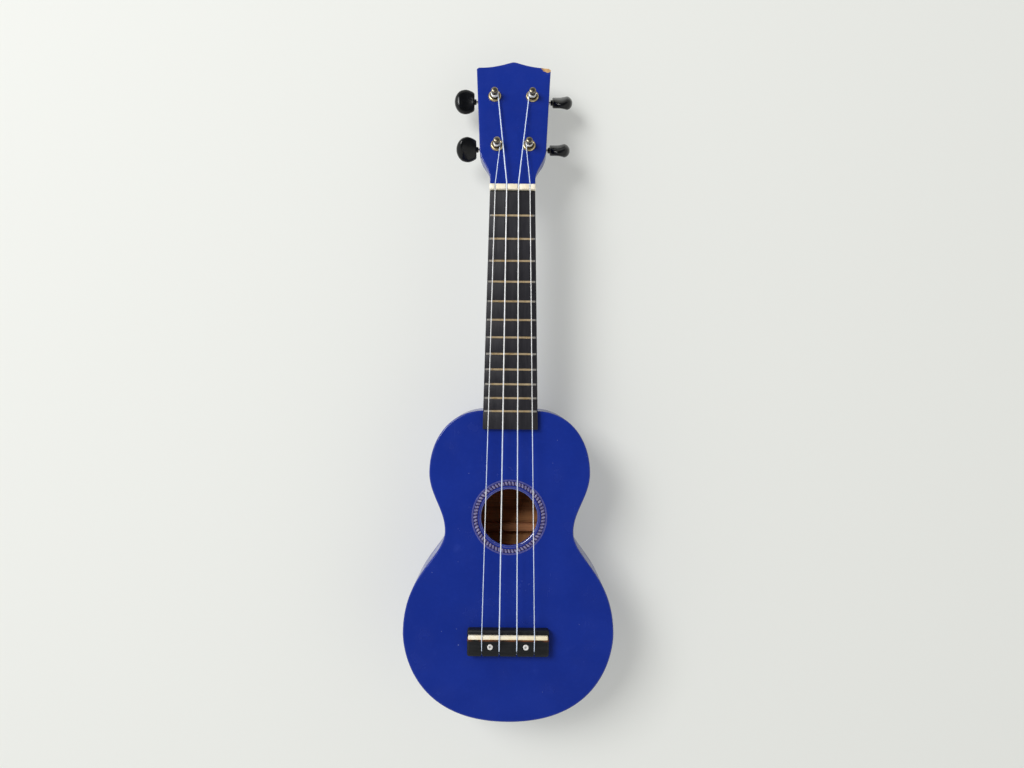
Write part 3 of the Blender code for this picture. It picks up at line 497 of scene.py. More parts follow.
def halfOutline():
    # The treble half as X and distance from the nut, from the shoulders' middle to the tail's middle
    anchors = bodyShape["anchors"]
    points = [Vector((x, anchors[0][1])) for x in (0.0, 5.0, 10.0, 15.0)]
    for start, end, count in zip(anchors, anchors[1:], bodyShape["steps"]):
        leave = Vector((start[3], 0)) if start is anchors[0] else Vector((0, start[3]))
        arrive = Vector((end[2], 0)) if end is anchors[-1] else Vector((0, -end[2]))
        first = Vector(start[:2])
        last = Vector(end[:2])
        span = interpolate_bezier(first, first + leave, last + arrive, last, count + 1)
        points.extend(Vector(point[:2]) for point in span[:-1])
    points.append(Vector(anchors[-1][:2]))
    return points


def insetHalf(points, distance):
    moved = []
    for i, point in enumerate(points):
        along = points[min(i + 1, len(points) - 1)] - points[max(i - 1, 0)]
        if i in (0, len(points) - 1):
            along.y = 0
        along.normalize()
        moved.append(point + Vector((-along.y, along.x)) * distance)
    return moved


def wholeLoop(half, inset, height):
    treble = insetHalf(half, inset)
    loop = treble + [Vector((-point.x, point.y)) for point in reversed(treble[1:-1])]
    return [spot(point.x, point.y, height) for point in loop]


def holeLoop(radius, height):
    centre = bodyShape["holeCentre"]
    return [spot(radius * y, centre - radius * x, height) for x, y in circle(bodyShape["holeSteps"])]


def rolledEdge(edge, inner, face, radius, flat, steps=4):
    # Inset and height of each loop from a plate's inner face, round its edge and just onto its outer face
    way = 1 if face > inner else -1
    profile = [(edge, inner)]
    for i in range(steps + 1):
        angle = pi / 2 * i / steps
        profile.append((edge + radius * (1 - cos(angle)), face - way * radius * (1 - sin(angle))))
    return profile + [(edge + radius + flat, face)]


def flatFill(bm, *rows):
    borders = []
    for row in rows:
        for i in range(len(row)):
            borders.append(bm.edges.get((row[i - 1], row[i])) or bm.edges.new((row[i - 1], row[i])))
    bmesh.ops.triangle_fill(bm, use_beauty=True, edges=borders)


def bareInside(bm, level):
    # A plate's inner face is bare wood, the second finish
    for face in bm.faces:
        if abs(face.calc_center_median().z / mm - level) < 0.01:
            face.material_index = 1


def buildTop():
    shape = bodyShape
    half = halfOutline()
    depth = shape["depth"]
    inner = depth - shape["plate"]
    radius = shape["holeRadius"]
    bm = bmesh.new()
    profile = rolledEdge(0.0, inner, depth, shape["edgeRound"], shape["edgeFlat"])
    outer = courses(bm, [wholeLoop(half, inset, height) for inset, height in profile])
    profile = rolledEdge(radius, inner, depth, shape["holeRound"], shape["holeFlat"])
    hole = courses(bm, [holeLoop(reach, height) for reach, height in profile])
    flatFill(bm, outer[-1], hole[-1])
    flatFill(bm, outer[0], hole[0])
    bareInside(bm, inner)
    middle = spot(0, shape["holeCentre"], 0).xy
    lipReach = (radius + shape["holeRound"]) * mm
    for face in bm.faces:
        centre = face.calc_center_median()
        if centre.z > (depth - shape["holeRound"]) * mm and (centre.xy - middle).length < lipReach:
            face.material_index = 2
    top = meshObject("soundboardTop", bm, blueLacquer, innerWood, lipLacquer)
    enlist(top, "blue_lacquer", "soundboard")


def buildBack():
    shape = bodyShape
    half = halfOutline()
    bm = bmesh.new()
    profile = rolledEdge(0.0, shape["plate"], 0.0, shape["edgeRound"], shape["edgeFlat"])
    rows = courses(bm, [wholeLoop(half, inset, height) for inset, height in profile])
    flatFill(bm, rows[0])
    flatFill(bm, rows[-1])
    bareInside(bm, shape["plate"])
    back = meshObject("backPlate", bm, blueLacquer, innerWood)
    enlist(back, "blue_lacquer", "back")


sideShape = {"wall": 1.8, "liningWidth": 5.8, "liningHeight": 8.0, "liningEdge": 3.0,
             "kerfDepth": 2.9, "kerfWidth": 0.9, "kerfEvery": 6.0, "kerfStart": 4.0}


def kerfStations(length):
    # Where the sections stand along the side, and whether each is in one of the lining's saw cuts
    every = sideShape["kerfEvery"]
    width = sideShape["kerfWidth"]
    stations = [(0.0, False)]
    start = sideShape["kerfStart"]
    hair = 0.02
    while start + every < length:
        end = start + width
        stations += [(start - hair, False), (start, True), (end, True), (end + hair, False)]
        stations += [(end + (every - width) * share / 3, False) for share in (1, 2)]
        start += every
    return stations + [(length, False)]


def buildSides():
    half = halfOutline()
    reach = [0.0]
    for point, after in zip(half, half[1:]):
        reach.append(reach[-1] + (after - point).length)
    low = bodyShape["plate"] + bodyShape["seam"]
    high = bodyShape["depth"] - low
    wall = sideShape["wall"]
    deep = sideShape["liningWidth"]
    tall = sideShape["liningHeight"]
    edge = sideShape["liningEdge"]
    section = [(0.0, low), (0.0, high), (deep, high), (deep, high - edge), (wall, high - tall),
               (wall, low + tall), (deep, low + edge), (deep, low)]
    insets = sorted({0.0, wall, sideShape["kerfDepth"], deep})
    tracks = {inset: insetHalf(half, inset) for inset in insets}

    def pointAt(inset, place, height, side):
        i = max(k for k in range(len(reach) - 1) if reach[k] <= place + 1e-9)
        share = (place - reach[i]) / (reach[i + 1] - reach[i])
        point = tracks[inset][i].lerp(tracks[inset][i + 1], share)
        return spot(max(point.x, 0.01) * side, point.y, height)

    for name, side in (("side_bass", -1), ("side_treble", 1)):
        rings = []
        for place, sawn in kerfStations(reach[-1]):
            rings.append([
                pointAt(sideShape["kerfDepth"] if sawn and inset == deep else inset, place, height, side)
                for inset, height in section
            ])
        bm = skin(rings)[0]
        # The section's outer wall is lacquered and the rest is bare
        for i, face in enumerate(bm.faces):
            face.material_index = 0 if i % len(section) == 1 else 1
        made = meshObject(name + "Bent", bm, blueLacquer, innerWood)
        enlist(made, "blue_lacquer", name)


buildTop()
buildBack()
buildSides()
for name in ("neck_block", "tail_block", "top_brace_upper", "top_brace_lower", "back_brace_waist",
             "back_brace_lower", "bridge_plate"):
    softened(name, braceWood, 0.5)

print("neck")

neckShape = {
    "boardHalfAtNut": 17.8, "boardHalfAtJoin": 21.4, "join": 172.7,
    "depth": 14.0, "depthAtHeel": 15.5, "heelStart": 132.0, "heelDepth": 52.0, "heelCurve": 2.4,
    "heelGap": 0.05,
    "angle": radians(12), "headThickness": 13.0, "headLength": 103.5,
    "halfAtNut": 18.0, "halfAtShoulder": 26.6, "halfAtTip": 30.3, "shoulder": (5.0, 31.0),
    "cornerRound": 2.4, "cornerSlant": 0.8, "faceRound": 0.7, "backPower": 0.85, "squareFrom": 21.0,
    "stations": [5 + i * 1.3 for i in range(21)] + [36, 42, 50, 58, 66, 74, 82, 90, 96, 100],
    "crown": {"height": 5.1, "halfSpan": 24.0, "pointRound": 1.8, "curve": 1.8},
    "sleeveHole": 3.8, "headFromNut": -5.3,
}
headStart = spot(0, neckShape["headFromNut"], bodyShape["depth"])
headTilt = Matrix.Rotation(-neckShape["angle"], 4, "X")


def onHead(across, along, height):
    # A point in the headstock's own plane: across it, along it from the nut, and out of its face
    return headStart + headTilt @ Vector((across, along, height)) * mm


def headMatrix(across, along, height=0.0):
    return Matrix.Translation(onHead(across, along, height)) @ headTilt @ Matrix.Scale(mm, 4)


def crownAt(across):
    crown = neckShape["crown"]
    reach = hypot(across, crown["pointRound"]) - crown["pointRound"]
    return crown["height"] * (1 - min(reach / crown["halfSpan"], 1)) ** crown["curve"]


def headHalfWidth(along):
    start, end = neckShape["shoulder"]
    share = min(max((along - start) / (end - start), 0), 1)
    swell = share * share * (3 - 2 * share)
    taper = max(along - end, 0) / (neckShape["headLength"] - end)
    atNut = neckShape["halfAtNut"]
    atShoulder = neckShape["halfAtShoulder"]
    return atNut + (atShoulder - atNut) * swell + (neckShape["halfAtTip"] - atShoulder) * taper


squareCorners = [(1, 0), (1, -0.45), (1, -0.92), (0.94, -1), (0.72, -1), (0.5, -1), (0.3, -1), (0.13, -1),
                 (0, -1)]


def backCurve(t, squareness):
    # From the front's edge, t = 0, to the middle of the back, t = 8: round at squareness 0 and square at 1
    i = min(int(t), 7)
    if i == 2:
        # A round corner between the two places
        across = 0.94 + 0.06 * cos(pi / 2 * (t - 2))
        drop = -0.92 - 0.08 * sin(pi / 2 * (t - 2))
    else:
        across, drop = (a + (b - a) * (t - i) for a, b in zip(squareCorners[i], squareCorners[i + 1]))
    angle = pi / 2 * t / 8
    power = neckShape["backPower"]
    roundAcross = max(cos(angle), 0) ** power
    roundDrop = -sin(angle) ** power
    return roundAcross + (across - roundAcross) * squareness, roundDrop + (drop - roundDrop) * squareness


backSteps = [0.3, 0.8, 1.3, 1.7, 2.0, 2.33, 2.67, 3.0, 3.4, 4.0, 4.5, 5.0, 5.5, 6.0, 6.4, 6.8, 7.2, 7.6]
arcSteps = 4
cornerCount = arcSteps + 1 + 8


def neckSection(halfWidth, depth, squareness, shrink=0.0):
    # Across and drop in millimetres: treble edge, round the back, bass edge, then over the front
    rounding = neckShape["faceRound"]
    edge = rounding / depth
    low = 0.0
    high = 2.0
    for _ in range(30):
        t = (low + high) / 2
        if -backCurve(t, squareness)[1] > edge:
            high = t
        else:
            low = t
    wide = backCurve(high, squareness)[0] * halfWidth
    half = []
    for i in range(arcSteps + 1):
        angle = pi / 2 * i / arcSteps
        half.append((wide - rounding * (1 - sin(angle)), -rounding * (1 - cos(angle))))
    for t in backSteps:
        if t <= high:
            t = high + 0.05
        across, drop = backCurve(t, squareness)
        half.append((across * halfWidth, drop * depth))
    if shrink:
        half = [(max(across - shrink, 0), min(max(drop, shrink - depth), -shrink)) for across, drop in half]
    backFace = half[cornerCount:]
    front = [(-across, -shrink) for across, drop in backFace] + [(0, -shrink)]
    front += [(across, -shrink) for across, drop in reversed(backFace)]
    return half + [(0, shrink - depth)] + [(-across, drop) for across, drop in reversed(half)] + front


def neckRing(centre, tilt, section, crowned=False):
    down = Vector((0, -sin(tilt), -cos(tilt)))
    forward = Vector((0, cos(tilt), -sin(tilt)))
    ring = []
    for across, drop in section:
        point = centre + Vector((across, 0, 0)) * mm - down * drop * mm
        if crowned:
            point += forward * crownAt(across) * mm
        ring.append(point)
    return ring


def boardHalfWidth(fromNut):
    start = neckShape["boardHalfAtNut"]
    return start + (neckShape["boardHalfAtJoin"] - start) * fromNut / neckShape["join"]


def heelRings(count=28):
    # From the heel's foot at the body to the place where the neck is thin
    shape = neckShape
    foot = shape["join"] - shape["heelGap"]
    rings = []
    for i in range(count):
        share = 1 - i / (count - 1)
        fromNut = shape["heelStart"] + (foot - shape["heelStart"]) * share
        swell = share ** shape["heelCurve"]
        depth = shape["depthAtHeel"] + (shape["heelDepth"] - shape["depthAtHeel"]) * swell
        section = neckSection(boardHalfWidth(fromNut), depth, 0)
        rings.append(neckRing(spot(0, fromNut, bodyShape["depth"]), 0, section))
    return rings


def neckRings():
    shape = neckShape
    length = shape["headLength"]
    thickness = shape["headThickness"]
    rounding = shape["faceRound"]

    def headRing(along, halfWidth, squareness=1, shrink=0.0, crowned=False):
        section = neckSection(halfWidth, thickness, squareness, shrink)
        return neckRing(onHead(0, along, 0), shape["angle"], section, crowned)

    atNut = neckSection(shape["boardHalfAtNut"], shape["depth"], 0)
    bend = neckSection(shape["halfAtNut"], shape["depth"], 0.1)
    rings = heelRings()
    rings.append(neckRing(spot(0, 0, bodyShape["depth"]), 0, atNut))
    rings.append(neckRing(headStart, shape["angle"] / 2, bend))
    for along in shape["stations"]:
        rings.append(headRing(along, headHalfWidth(along), min(along / shape["squareFrom"], 1)))
    corner = shape["cornerRound"] - rounding
    slant = corner * shape["cornerSlant"]
    tipHalf = shape["halfAtTip"] - slant
    for i in range(1, 6):
        angle = pi / 2 * i / 6
        along = length - rounding - corner * (1 - sin(angle))
        rings.append(headRing(along, tipHalf + slant * cos(angle)))
    for i in range(4):
        angle = pi / 2 * i / 3
        along = length - rounding * (1 - sin(angle))
        rings.append(headRing(along, tipHalf, 1, rounding * (1 - cos(angle)), True))
    return rings


def closeTip(bm, tip):
    # Strips join the back's edge to the front's edge along the crown, and one face closes each corner
    half = arcSteps + 1 + len(backSteps)
    back = tip[cornerCount:2 * half + 1 - cornerCount]
    front = list(reversed(tip[2 * half + 1:]))
    for i in range(len(back) - 1):
        bm.faces.new((front[i], front[i + 1], back[i + 1], back[i]))
    bm.faces.new([front[0], *tip[:cornerCount + 1]])
    bm.faces.new([front[-1], *reversed(tip[2 * half - cornerCount:2 * half + 1])])


def buildNeck():
    bm, rows = skin(neckRings(), capped=False)
    bm.faces.new(rows[0])
    closeTip(bm, rows[-1])
    neck = meshObject("neckShaped", bm, blueLacquer, chipWood)
    cutters = [chipCutter()]
    for across, along in tunerPlaces.values():
        bore = rod(neckShape["sleeveHole"], -20, 4, 48, headMatrix(across, along))
        cutters.append(meshObject("sleeveBore", bore))
    enlist(carve(neck, cutters), "blue_lacquer", "neck")


chip = {"centre": (27.0, 102.7, 0.8), "radii": (5.2, 3.7, 2.0), "turn": radians(-24), "rough": 0.16}


def chipCutter():
    # A lump whose underside is the broken wood at the headstock's corner
    bm = bmesh.new()
    bmesh.ops.create_icosphere(bm, subdivisions=4, radius=1.0)
    rough = chip["rough"]
    turn = Matrix.Rotation(chip["turn"], 3, "Z")
    for vert in bm.verts:
        swell = 1 + rough * noise.noise(vert.co * 2.6) + rough * 0.5 * noise.noise(vert.co * 9)
        vert.co = turn @ Vector(a * b * swell for a, b in zip(vert.co, chip["radii"]))
    lump = meshObject("chipCutter", carried(bm, headMatrix(*chip["centre"])), blueLacquer, chipWood)
    for face in lump.data.polygons:
        face.material_index = 1
    return lump


tunerPlaces = {"g": (-12.8, 34.3), "c": (-15.2, 77.6), "e": (15.2, 77.6), "a": (12.8, 34.3)}
buildNeck()

print("fretboard")


def shapeTree(name, inputs):
    # A tree of shape nodes with a named input for each of its values
    tree = bpy.data.node_groups.new(name, "GeometryNodeTree")
    tree.interface.new_socket("Geometry", in_out="INPUT", socket_type="NodeSocketGeometry")
    for label, kind in inputs.items():
        tree.interface.new_socket(label, in_out="INPUT", socket_type="NodeSocket" + kind)
    tree.interface.new_socket("Geometry", in_out="OUTPUT", socket_type="NodeSocketGeometry")
    source = tree.nodes.new("NodeGroupInput")
    return tree, {socket.name: Wire(tree, socket) for socket in source.outputs if socket.name}


def vectorOf(x, y, z):
    # At least the last value is a wire
    return z.node("CombineXYZ", {}, {0: x, 1: y, 2: z})


def changed(shape, **values):
    # The shape moved, turned or scaled
    return shape.node("GeometryNodeTransform", {}, {"Geometry": shape, **values})


def closeTree(tree, shape, finish):
    whole = shape.node("GeometryNodeRealizeInstances", {}, {"Geometry": shape})
    painted = whole.node("GeometryNodeSetMaterial", {}, {"Geometry": whole, "Material": finish})
    out = tree.nodes.new("NodeGroupOutput")
    tree.links.new(painted.socket, out.inputs["Geometry"])


def grow(made, tree, values):
    modifier = made.modifiers.new(tree.name, "NODES")
    modifier.node_group = tree
    for item in tree.interface.items_tree:
        if item.item_type == "SOCKET" and item.in_out == "INPUT" and item.name in values:
            modifier[item.identifier] = values[item.name]
    return bake(made)


def buildSweepTree(name, upright):
    # Sweeps a round or half-round section along each line
    tree, given = shapeTree(name, {
        "Radius": "Float", "Flatness": "Float", "Sides": "Int", "Sweep": "Float", "End Size": "Float",
        "Finish": "Material"})
    line = given["Geometry"].node("GeometryNodeMeshToCurve", {}, {"Mesh": given["Geometry"]})
    if upright:
        line = line.node("GeometryNodeSetCurveNormal", {"mode": "Z_UP"}, {"Curve": line})
    ends = line.node("GeometryNodeCurveEndpointSelection", {}, {})
    line = line.node("GeometryNodeSetCurveRadius", {}, {
        "Curve": line, "Selection": ends, "Radius": given["End Size"]})
    arc = line.node("GeometryNodeCurveArc", {"mode": "RADIUS"}, {
        "Resolution": given["Sides"], "Radius": given["Radius"], "Sweep Angle": given["Sweep"]})
    scale = line.node("CombineXYZ", {}, {0: 1.0, 1: given["Flatness"], 2: 1.0})
    arc = changed(arc, Scale=scale)
    arc = line.node("GeometryNodeSetSplineCyclic", {}, {"Geometry": arc, "Cyclic": True})
    bar = line.node("GeometryNodeCurveToMesh", {}, {"Curve": line, "Profile Curve": arc, "Fill Caps": True})
    closeTree(tree, bar, given["Finish"])
    return tree


def lines(name, paths):
    # A mesh of loose lines for the sweep to follow
    mesh = bpy.data.meshes.new(name)
    points = [point for path in paths for point in path]
    edges = []
    start = 0
    for path in paths:
        edges += [(start + i, start + i + 1) for i in range(len(path) - 1)]
        start += len(path)
    mesh.from_pydata(points, edges, [])
    return placed(name, mesh)


barTree = buildSweepTree("sweptBar", True)
roundTree = buildSweepTree("sweptRound", False)
frets = {"scaleLength": 346.0, "count": 12, "base": 62.35, "halfWidth": 0.74, "height": 1.2,
         "endInset": 0.8, "endTaper": 0.6, "sides": 14}


def buildFrets():
    numbers = range(1, frets["count"] + 1)
    paths = []
    for number in numbers:
        place = frets["scaleLength"] * (1 - 2 ** (-number / 12))
        reach = boardHalfWidth(place) - frets["endInset"]
        full = reach - frets["endTaper"]
        paths.append([spot(x, place, frets["base"]) for x in (-reach, -full, 0, full, reach)])
    made = lines("fretWires", paths)
    grow(made, barTree, {
        "Radius": frets["halfWidth"] * mm, "Flatness": frets["height"] / frets["halfWidth"],
        "Sides": frets["sides"], "Sweep": pi, "End Size": 0.5, "Finish": fretMetal})
    enlist(made, "fret_metal", *(f"fret_{number:02d}" for number in numbers))


buildFrets()
softened("fretboard", boardWood, 0.45, 3)
softened("nut", creamPlastic, 0.3, 3)

print("bridge")

bridgeShape = {
    "front": 344.2, "rear": 365.2, "halfLength": 32.1, "low": 58.02, "top": 65.6, "round": 1.8,
    "saddlePlace": 349.6, "saddleHalf": 31.2, "saddleThickness": 3.2, "saddleTop": 68.2, "slotFloor": 62.4,
    "stringSlotStart": 360.4, "stringSlotFloor": 60.9, "pocketFloor": 59.4, "pocketCeiling": 62.8,
    "pocketHalf": 1.7, "screwPlace": 357.6, "screwSpread": 14.0, "recess": 2.6, "recessFloor": 63.0,
    "capRadius": 2.25, "capLow": 64.7, "shadedCapFloor": 65.12, "capRim": 65.8, "slotPlay": 0.08,
    "stringPlay": 0.12,
}
# Each string: its side, -1 for the bass, its radius, its place at the nut and at the saddle, and the
# turn of its button
strings = {
    "g": {"side": -1, "radius": 0.3, "atNut": -13.55, "atSaddle": -20.55, "turn": 42},
    "c": {"side": -1, "radius": 0.45, "atNut": -4.6, "atSaddle": -6.85, "turn": 9},
    "e": {"side": 1, "radius": 0.4, "atNut": 4.6, "atSaddle": 6.85, "turn": -46},
    "a": {"side": 1, "radius": 0.3, "atNut": 13.55, "atSaddle": 20.55, "turn": -50},
}


def blockBetween(low, high, rounding=0.0, segments=3, onlyTop=False):
    # A box between two places, given as X, distance from the nut and height
    bm = bmesh.new()
    bmesh.ops.create_cube(bm, size=1.0)
    first = spot(*low)
    last = spot(*high)
    for vert in bm.verts:
        vert.co = Vector(a + (b - a) * (c + 0.5) for a, b, c in zip(first, last, vert.co))
    if rounding:
        chosen = [edge for edge in bm.edges
                  if not onlyTop or any(abs(vert.co.z - last.z) < 1e-7 for vert in edge.verts)]
        rounded(bm, chosen, rounding * mm, segments)
    return bm


def screwWell(side):
    # The frame of a screw's recess in the bridge, -1 on the bass side and 1 on the treble side
    place = spot(side * bridgeShape["screwSpread"], bridgeShape["screwPlace"], 0)
    return Matrix.Translation(place) @ Matrix.Scale(mm, 4)


def bridgeCuts():
    shape = bridgeShape
    over = shape["top"] + 1
    past = shape["halfLength"] + 1
    rear = shape["rear"] + 1
    half = shape["saddleThickness"] / 2 + shape["slotPlay"]
    cuts = [blockBetween((-past, shape["saddlePlace"] + half, shape["slotFloor"]),
                         (past, shape["saddlePlace"] - half, over))]
    for string in strings.values():
        middle = string["atSaddle"]
        room = string["radius"] + shape["stringPlay"]
        pocket = shape["pocketHalf"]
        start = shape["stringSlotStart"]
        cuts.append(blockBetween((middle - room, rear, shape["stringSlotFloor"]),
                                 (middle + room, start, over)))
        cuts.append(blockBetween((middle - pocket, rear, shape["pocketFloor"]),
                                 (middle + pocket, start + 1, shape["pocketCeiling"])))
    cuts += [rod(shape["recess"], shape["recessFloor"], over, 40, screwWell(side)) for side in (-1, 1)]
    return [meshObject("bridgeCut", cut) for cut in cuts]


def buildBridge():
    shape = bridgeShape
    bm = blockBetween((-shape["halfLength"], shape["rear"], shape["low"]),
                      (shape["halfLength"], shape["front"], shape["top"]), shape["round"], 5, True)
    bridge = carve(meshObject("bridgeCarved", bm, bridgeWood), bridgeCuts())
    enlist(bridge, "black_wood", "bridge")
    half = shape["saddleThickness"] / 2
    bm = blockBetween((-shape["saddleHalf"], shape["saddlePlace"] + half, shape["slotFloor"] + 0.05),
                      (shape["saddleHalf"], shape["saddlePlace"] - half, shape["saddleTop"]), 0.9, 5, True)
    enlist(meshObject("saddleRounded", bm, saddlePlastic), "cream_plastic", "saddle")
    radius = shape["capRadius"]
    low = shape["capLow"]
    rim = shape["capRim"]
    outline = [(0, low), (radius, low), (radius, rim - 0.4), (radius - 0.12, rim - 0.15), (radius - 0.4, rim),
               (1.15, rim), (1.0, rim - 0.08), (0.92, rim - 0.3), (0.88, rim - 0.65), (0, rim - 0.7)]
    for name, side in (("bass", -1), ("treble", 1)):
        bm = turned(outline, 40, screwWell(side))
        cap = meshObject(f"bridgeCap_{name}", bm, whitePlastic, shadedCapFloor)
        # The recess floor takes the grey finish of painted shade
        for face in cap.data.polygons:
            if abs(face.center.z / mm - shape["shadedCapFloor"]) < 0.06:
                face.material_index = 1
        enlist(cap, "white_plastic", f"bridge_cap_{name}")


buildBridge()

print("strings")

windingShape = {
    "waist": 1.95, "gap": 0.28, "start": 2.45, "pitch": 1.2, "turns": 2, "holeHeight": 6.8,
    "stepsPerTurn": 44,
    # On its way to the hole: distance off the coil, degrees before the hole and share of the climb
    "wayIn": [(0.0, 80, 0.25), (0.06, 54, 0.58), (0.16, 30, 0.88), (0.2, 12, 1), (0.0, 2, 1)],
}
# The tail's points are X off the string, distance from the nut and height
knotShape = {"size": 0.36, "place": 363.6, "height": 60.9, "depth": 1.3, "steps": 72, "lift": 0.2,
             "tail": [(-1.5, 365.9, 60.9), (-1.0, 364.6, 60.6)]}
overSaddle = (bridgeShape["saddlePlace"], 68.93)
overNut = (-5.4, 64.5)
# Up out of the knot's pocket and over the bridge's rear edge: distance from the nut and height
climb = [(362.1, 60.8), (361.9, 62.6), (361.3, 64.3), (360.2, 65.6), (358.4, 66.6)]


plainNylon = plainPaint((0.82, 0.83, 0.855), (0.93, 0.935, 0.945), 300.0, 0.16, 0.1)
# Painted reflection: the blue that the strings take over the lacquer stands in for the lacquer's light
# through the clear nylon
paintedBlueGlow = {
    "colour": (0.67, 0.77, 0.96), "nutBlur": 4.0, "boardBlur": 1.0, "holeBlur": 2.0,
    "windingHeight": 4.5, "windingReach": (3.3, 4.2),
}


def nylonPaint(place):
    # Painted reflection: the nylon is tinted with the lacquer's blue where it lies over the lacquer, standing
    # in for the lacquer's light through and off the clear string, but not over the fretboard and the hole, or
    # wound on a post
    tint = paintedBlueGlow
    fromNut = beyond(place, 0.0)
    boardEnd = (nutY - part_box("fretboard")[0][1]) / mm
    holeStart = bodyShape["holeCentre"] - bodyShape["holeRadius"]
    holeEnd = bodyShape["holeCentre"] + bodyShape["holeRadius"]
    white = 0.0
    for out, start, end, past in (
            (-tint["nutBlur"], 0.0, boardEnd - tint["boardBlur"], boardEnd + tint["boardBlur"]),
            (holeStart - tint["holeBlur"], holeStart, holeEnd, holeEnd + tint["holeBlur"])):
        white += fromNut.above(out * mm, start * mm) * (1.0 - fromNut.above(end * mm, past * mm))
    near, far = tint["windingReach"]
    for across, along in tunerPlaces.values():
        winding = onHead(across, along, tint["windingHeight"])
        away = place.node("VectorMath", {"operation": "DISTANCE"}, {0: place, 1: winding}, out="Value")
        white += 1.0 - away.above(near * mm, far * mm)
    sockets = plainNylon(place)
    # Painted blue glow from the lacquer, except where the string keeps its own white
    sockets["Base Color"] = white.blend(tint["colour"], sockets["Base Color"])
    return sockets


nylon = finishOf("nylon", {"Specular IOR Level": 0.8}, nylonPaint)


def through(points, steps):
    # A smooth curve through all the points
    points = [Vector(point) for point in points]
    ends = [points[0] * 2 - points[1], *points, points[-1] * 2 - points[-2]]
    run = []
    for before, start, end, after in zip(ends, ends[1:], ends[2:], ends[3:]):
        for i in range(steps):
            t = i / steps
            bend = (end - before) * t + (before * 2 - start * 5 + end * 4 - after) * t ** 2
            run.append(start + (bend + (start * 3 - before - end * 3 + after) * t ** 3) / 2)
    run.append(points[-1])
    return run


def windingPoints(key):
    # The string meets the post's waist on the nut's side, winds up it and turns in to the string hole
    string = strings[key]
    across, along = tunerPlaces[key]
    shape = windingShape
    coil = shape["waist"] + shape["gap"] + string["radius"]
    inward = -string["side"]
    start = Vector(((string["atNut"] - across) * inward, -along))
    first = atan2(start.y, start.x) + acos(coil / start.length)
    last = pi / 2 + 2 * pi * shape["turns"]
    leave = last - radians(110)
    count = round((leave - first) / (2 * pi) * shape["stepsPerTurn"])
    polar = []
    for i in range(count + 1):
        angle = first + (leave - first) * i / count
        polar.append((coil, angle, shape["start"] + shape["pitch"] * (angle - first) / (2 * pi)))
    height = polar[-1][2]
    tail = [polar[-3], polar[-1]]
    for outward, before, share in shape["wayIn"]:
        level = height + (shape["holeHeight"] - height) * share
        tail.append((coil + outward, last - radians(before), level))
    tail.append((shape["waist"] + 0.1, last, shape["holeHeight"]))
    polar = polar[:-3] + [tuple(point) for point in through(tail, 4)]
    return [onHead(across + inward * reach * cos(angle), along + reach * sin(angle), level)
            for reach, angle, level in polar]


def knotPoints(string):
    # A trefoil knot in the bridge's pocket that ends where the string starts up
    shape = knotShape
    middle = spot(string["atSaddle"], shape["place"], shape["height"])
    loop = []
    for i in range(shape["steps"] + 1):
        turn = 2 * pi * i / shape["steps"]
        reach = 2 + cos(3 * turn)
        across = reach * cos(2 * turn)
        up = reach * sin(2 * turn)
        loop.append(middle + Vector((across, sin(3 * turn) * shape["depth"], up)) * shape["size"] * mm)
    tail = [spot(string["atSaddle"] + aside, place, height) for aside, place, height in shape["tail"]]
    return through([*tail, loop[0] - Vector((0, 0, shape["lift"] * mm))], 4)[:-1] + loop


def buildString(key):
    string = strings[key]
    path = through([spot(string["atSaddle"], place, height) for place, height in climb], 5)
    path.append(spot(string["atSaddle"], *overSaddle))
    path.append(spot(string["atNut"], *overNut))
    path += windingPoints(key)
    made = lines(f"string_{key}_wound", [path, knotPoints(string)])
    grow(made, roundTree, {
        "Radius": string["radius"] * mm, "Flatness": 1.0, "Sides": 14, "Sweep": 2 * pi * 13 / 14,
        "End Size": 0.8, "Finish": nylon})
    enlist(made, "nylon", f"string_{key}")


for key in strings:
    buildString(key)

print("tuning machines")

machine = {
    "postRadius": 2.8, "postWaist": 1.95, "postThin": 1.9, "postHeight": 9.8, "hole": 1.05, "holeHeight": 6.8,
    "bushingRadius": 5.25, "sleeve": 3.5, "bore": 3.05,
    "drop": 19.5, "aside": 6.2, "shaft": 1.25, "shaftPlay": 0.2, "buttonOffset": 17.3, "buttonPower": 0.8,
    "teeth": 14, "module": 0.6, "addendum": 0.5, "dedendum": 0.75, "toothShare": 0.38, "gearThickness": 3.0,
    "wormRadius": 2.0, "wormTurns": 4, "plateTop": -13.05, "plateGauge": 1.0, "plateHalf": 5.6,
    "plateNear": -10.5, "plateFar": 15.5, "plateCorner": 3.0, "earReach": 2.5, "screwInset": 2.2,
    "shaftInner": -6.6, "shaftOuter": 24.65, "pressureAngle": radians(20),
    # Radius, height and slot width of each kind of screw's head
    "gearScrew": (2.7, 1.3, 0.55), "plateScrew": (1.9, 0.9, 0.45),
}
axialPitch = pi * machine["module"]
gearRadius = machine["teeth"] * machine["module"] / 2


def toothHalf(height):
    return machine["toothShare"] * axialPitch / 2 - height * tan(machine["pressureAngle"])


def bushingOutline():
    radius = machine["bushingRadius"]
    bore = machine["bore"]
    sleeve = machine["sleeve"]
    dome = [(radius, 0.03), (radius, 0.45), (radius - 0.25, 0.95), (radius - 0.75, 1.42),
            (radius - 1.25, 1.6), (radius - 1.7, 1.5), (bore + 0.15, 1.2), (bore, 0.95)]
    return [(bore, -9), (sleeve, -9), (sleeve, 0.03), *through(dome, 3)]


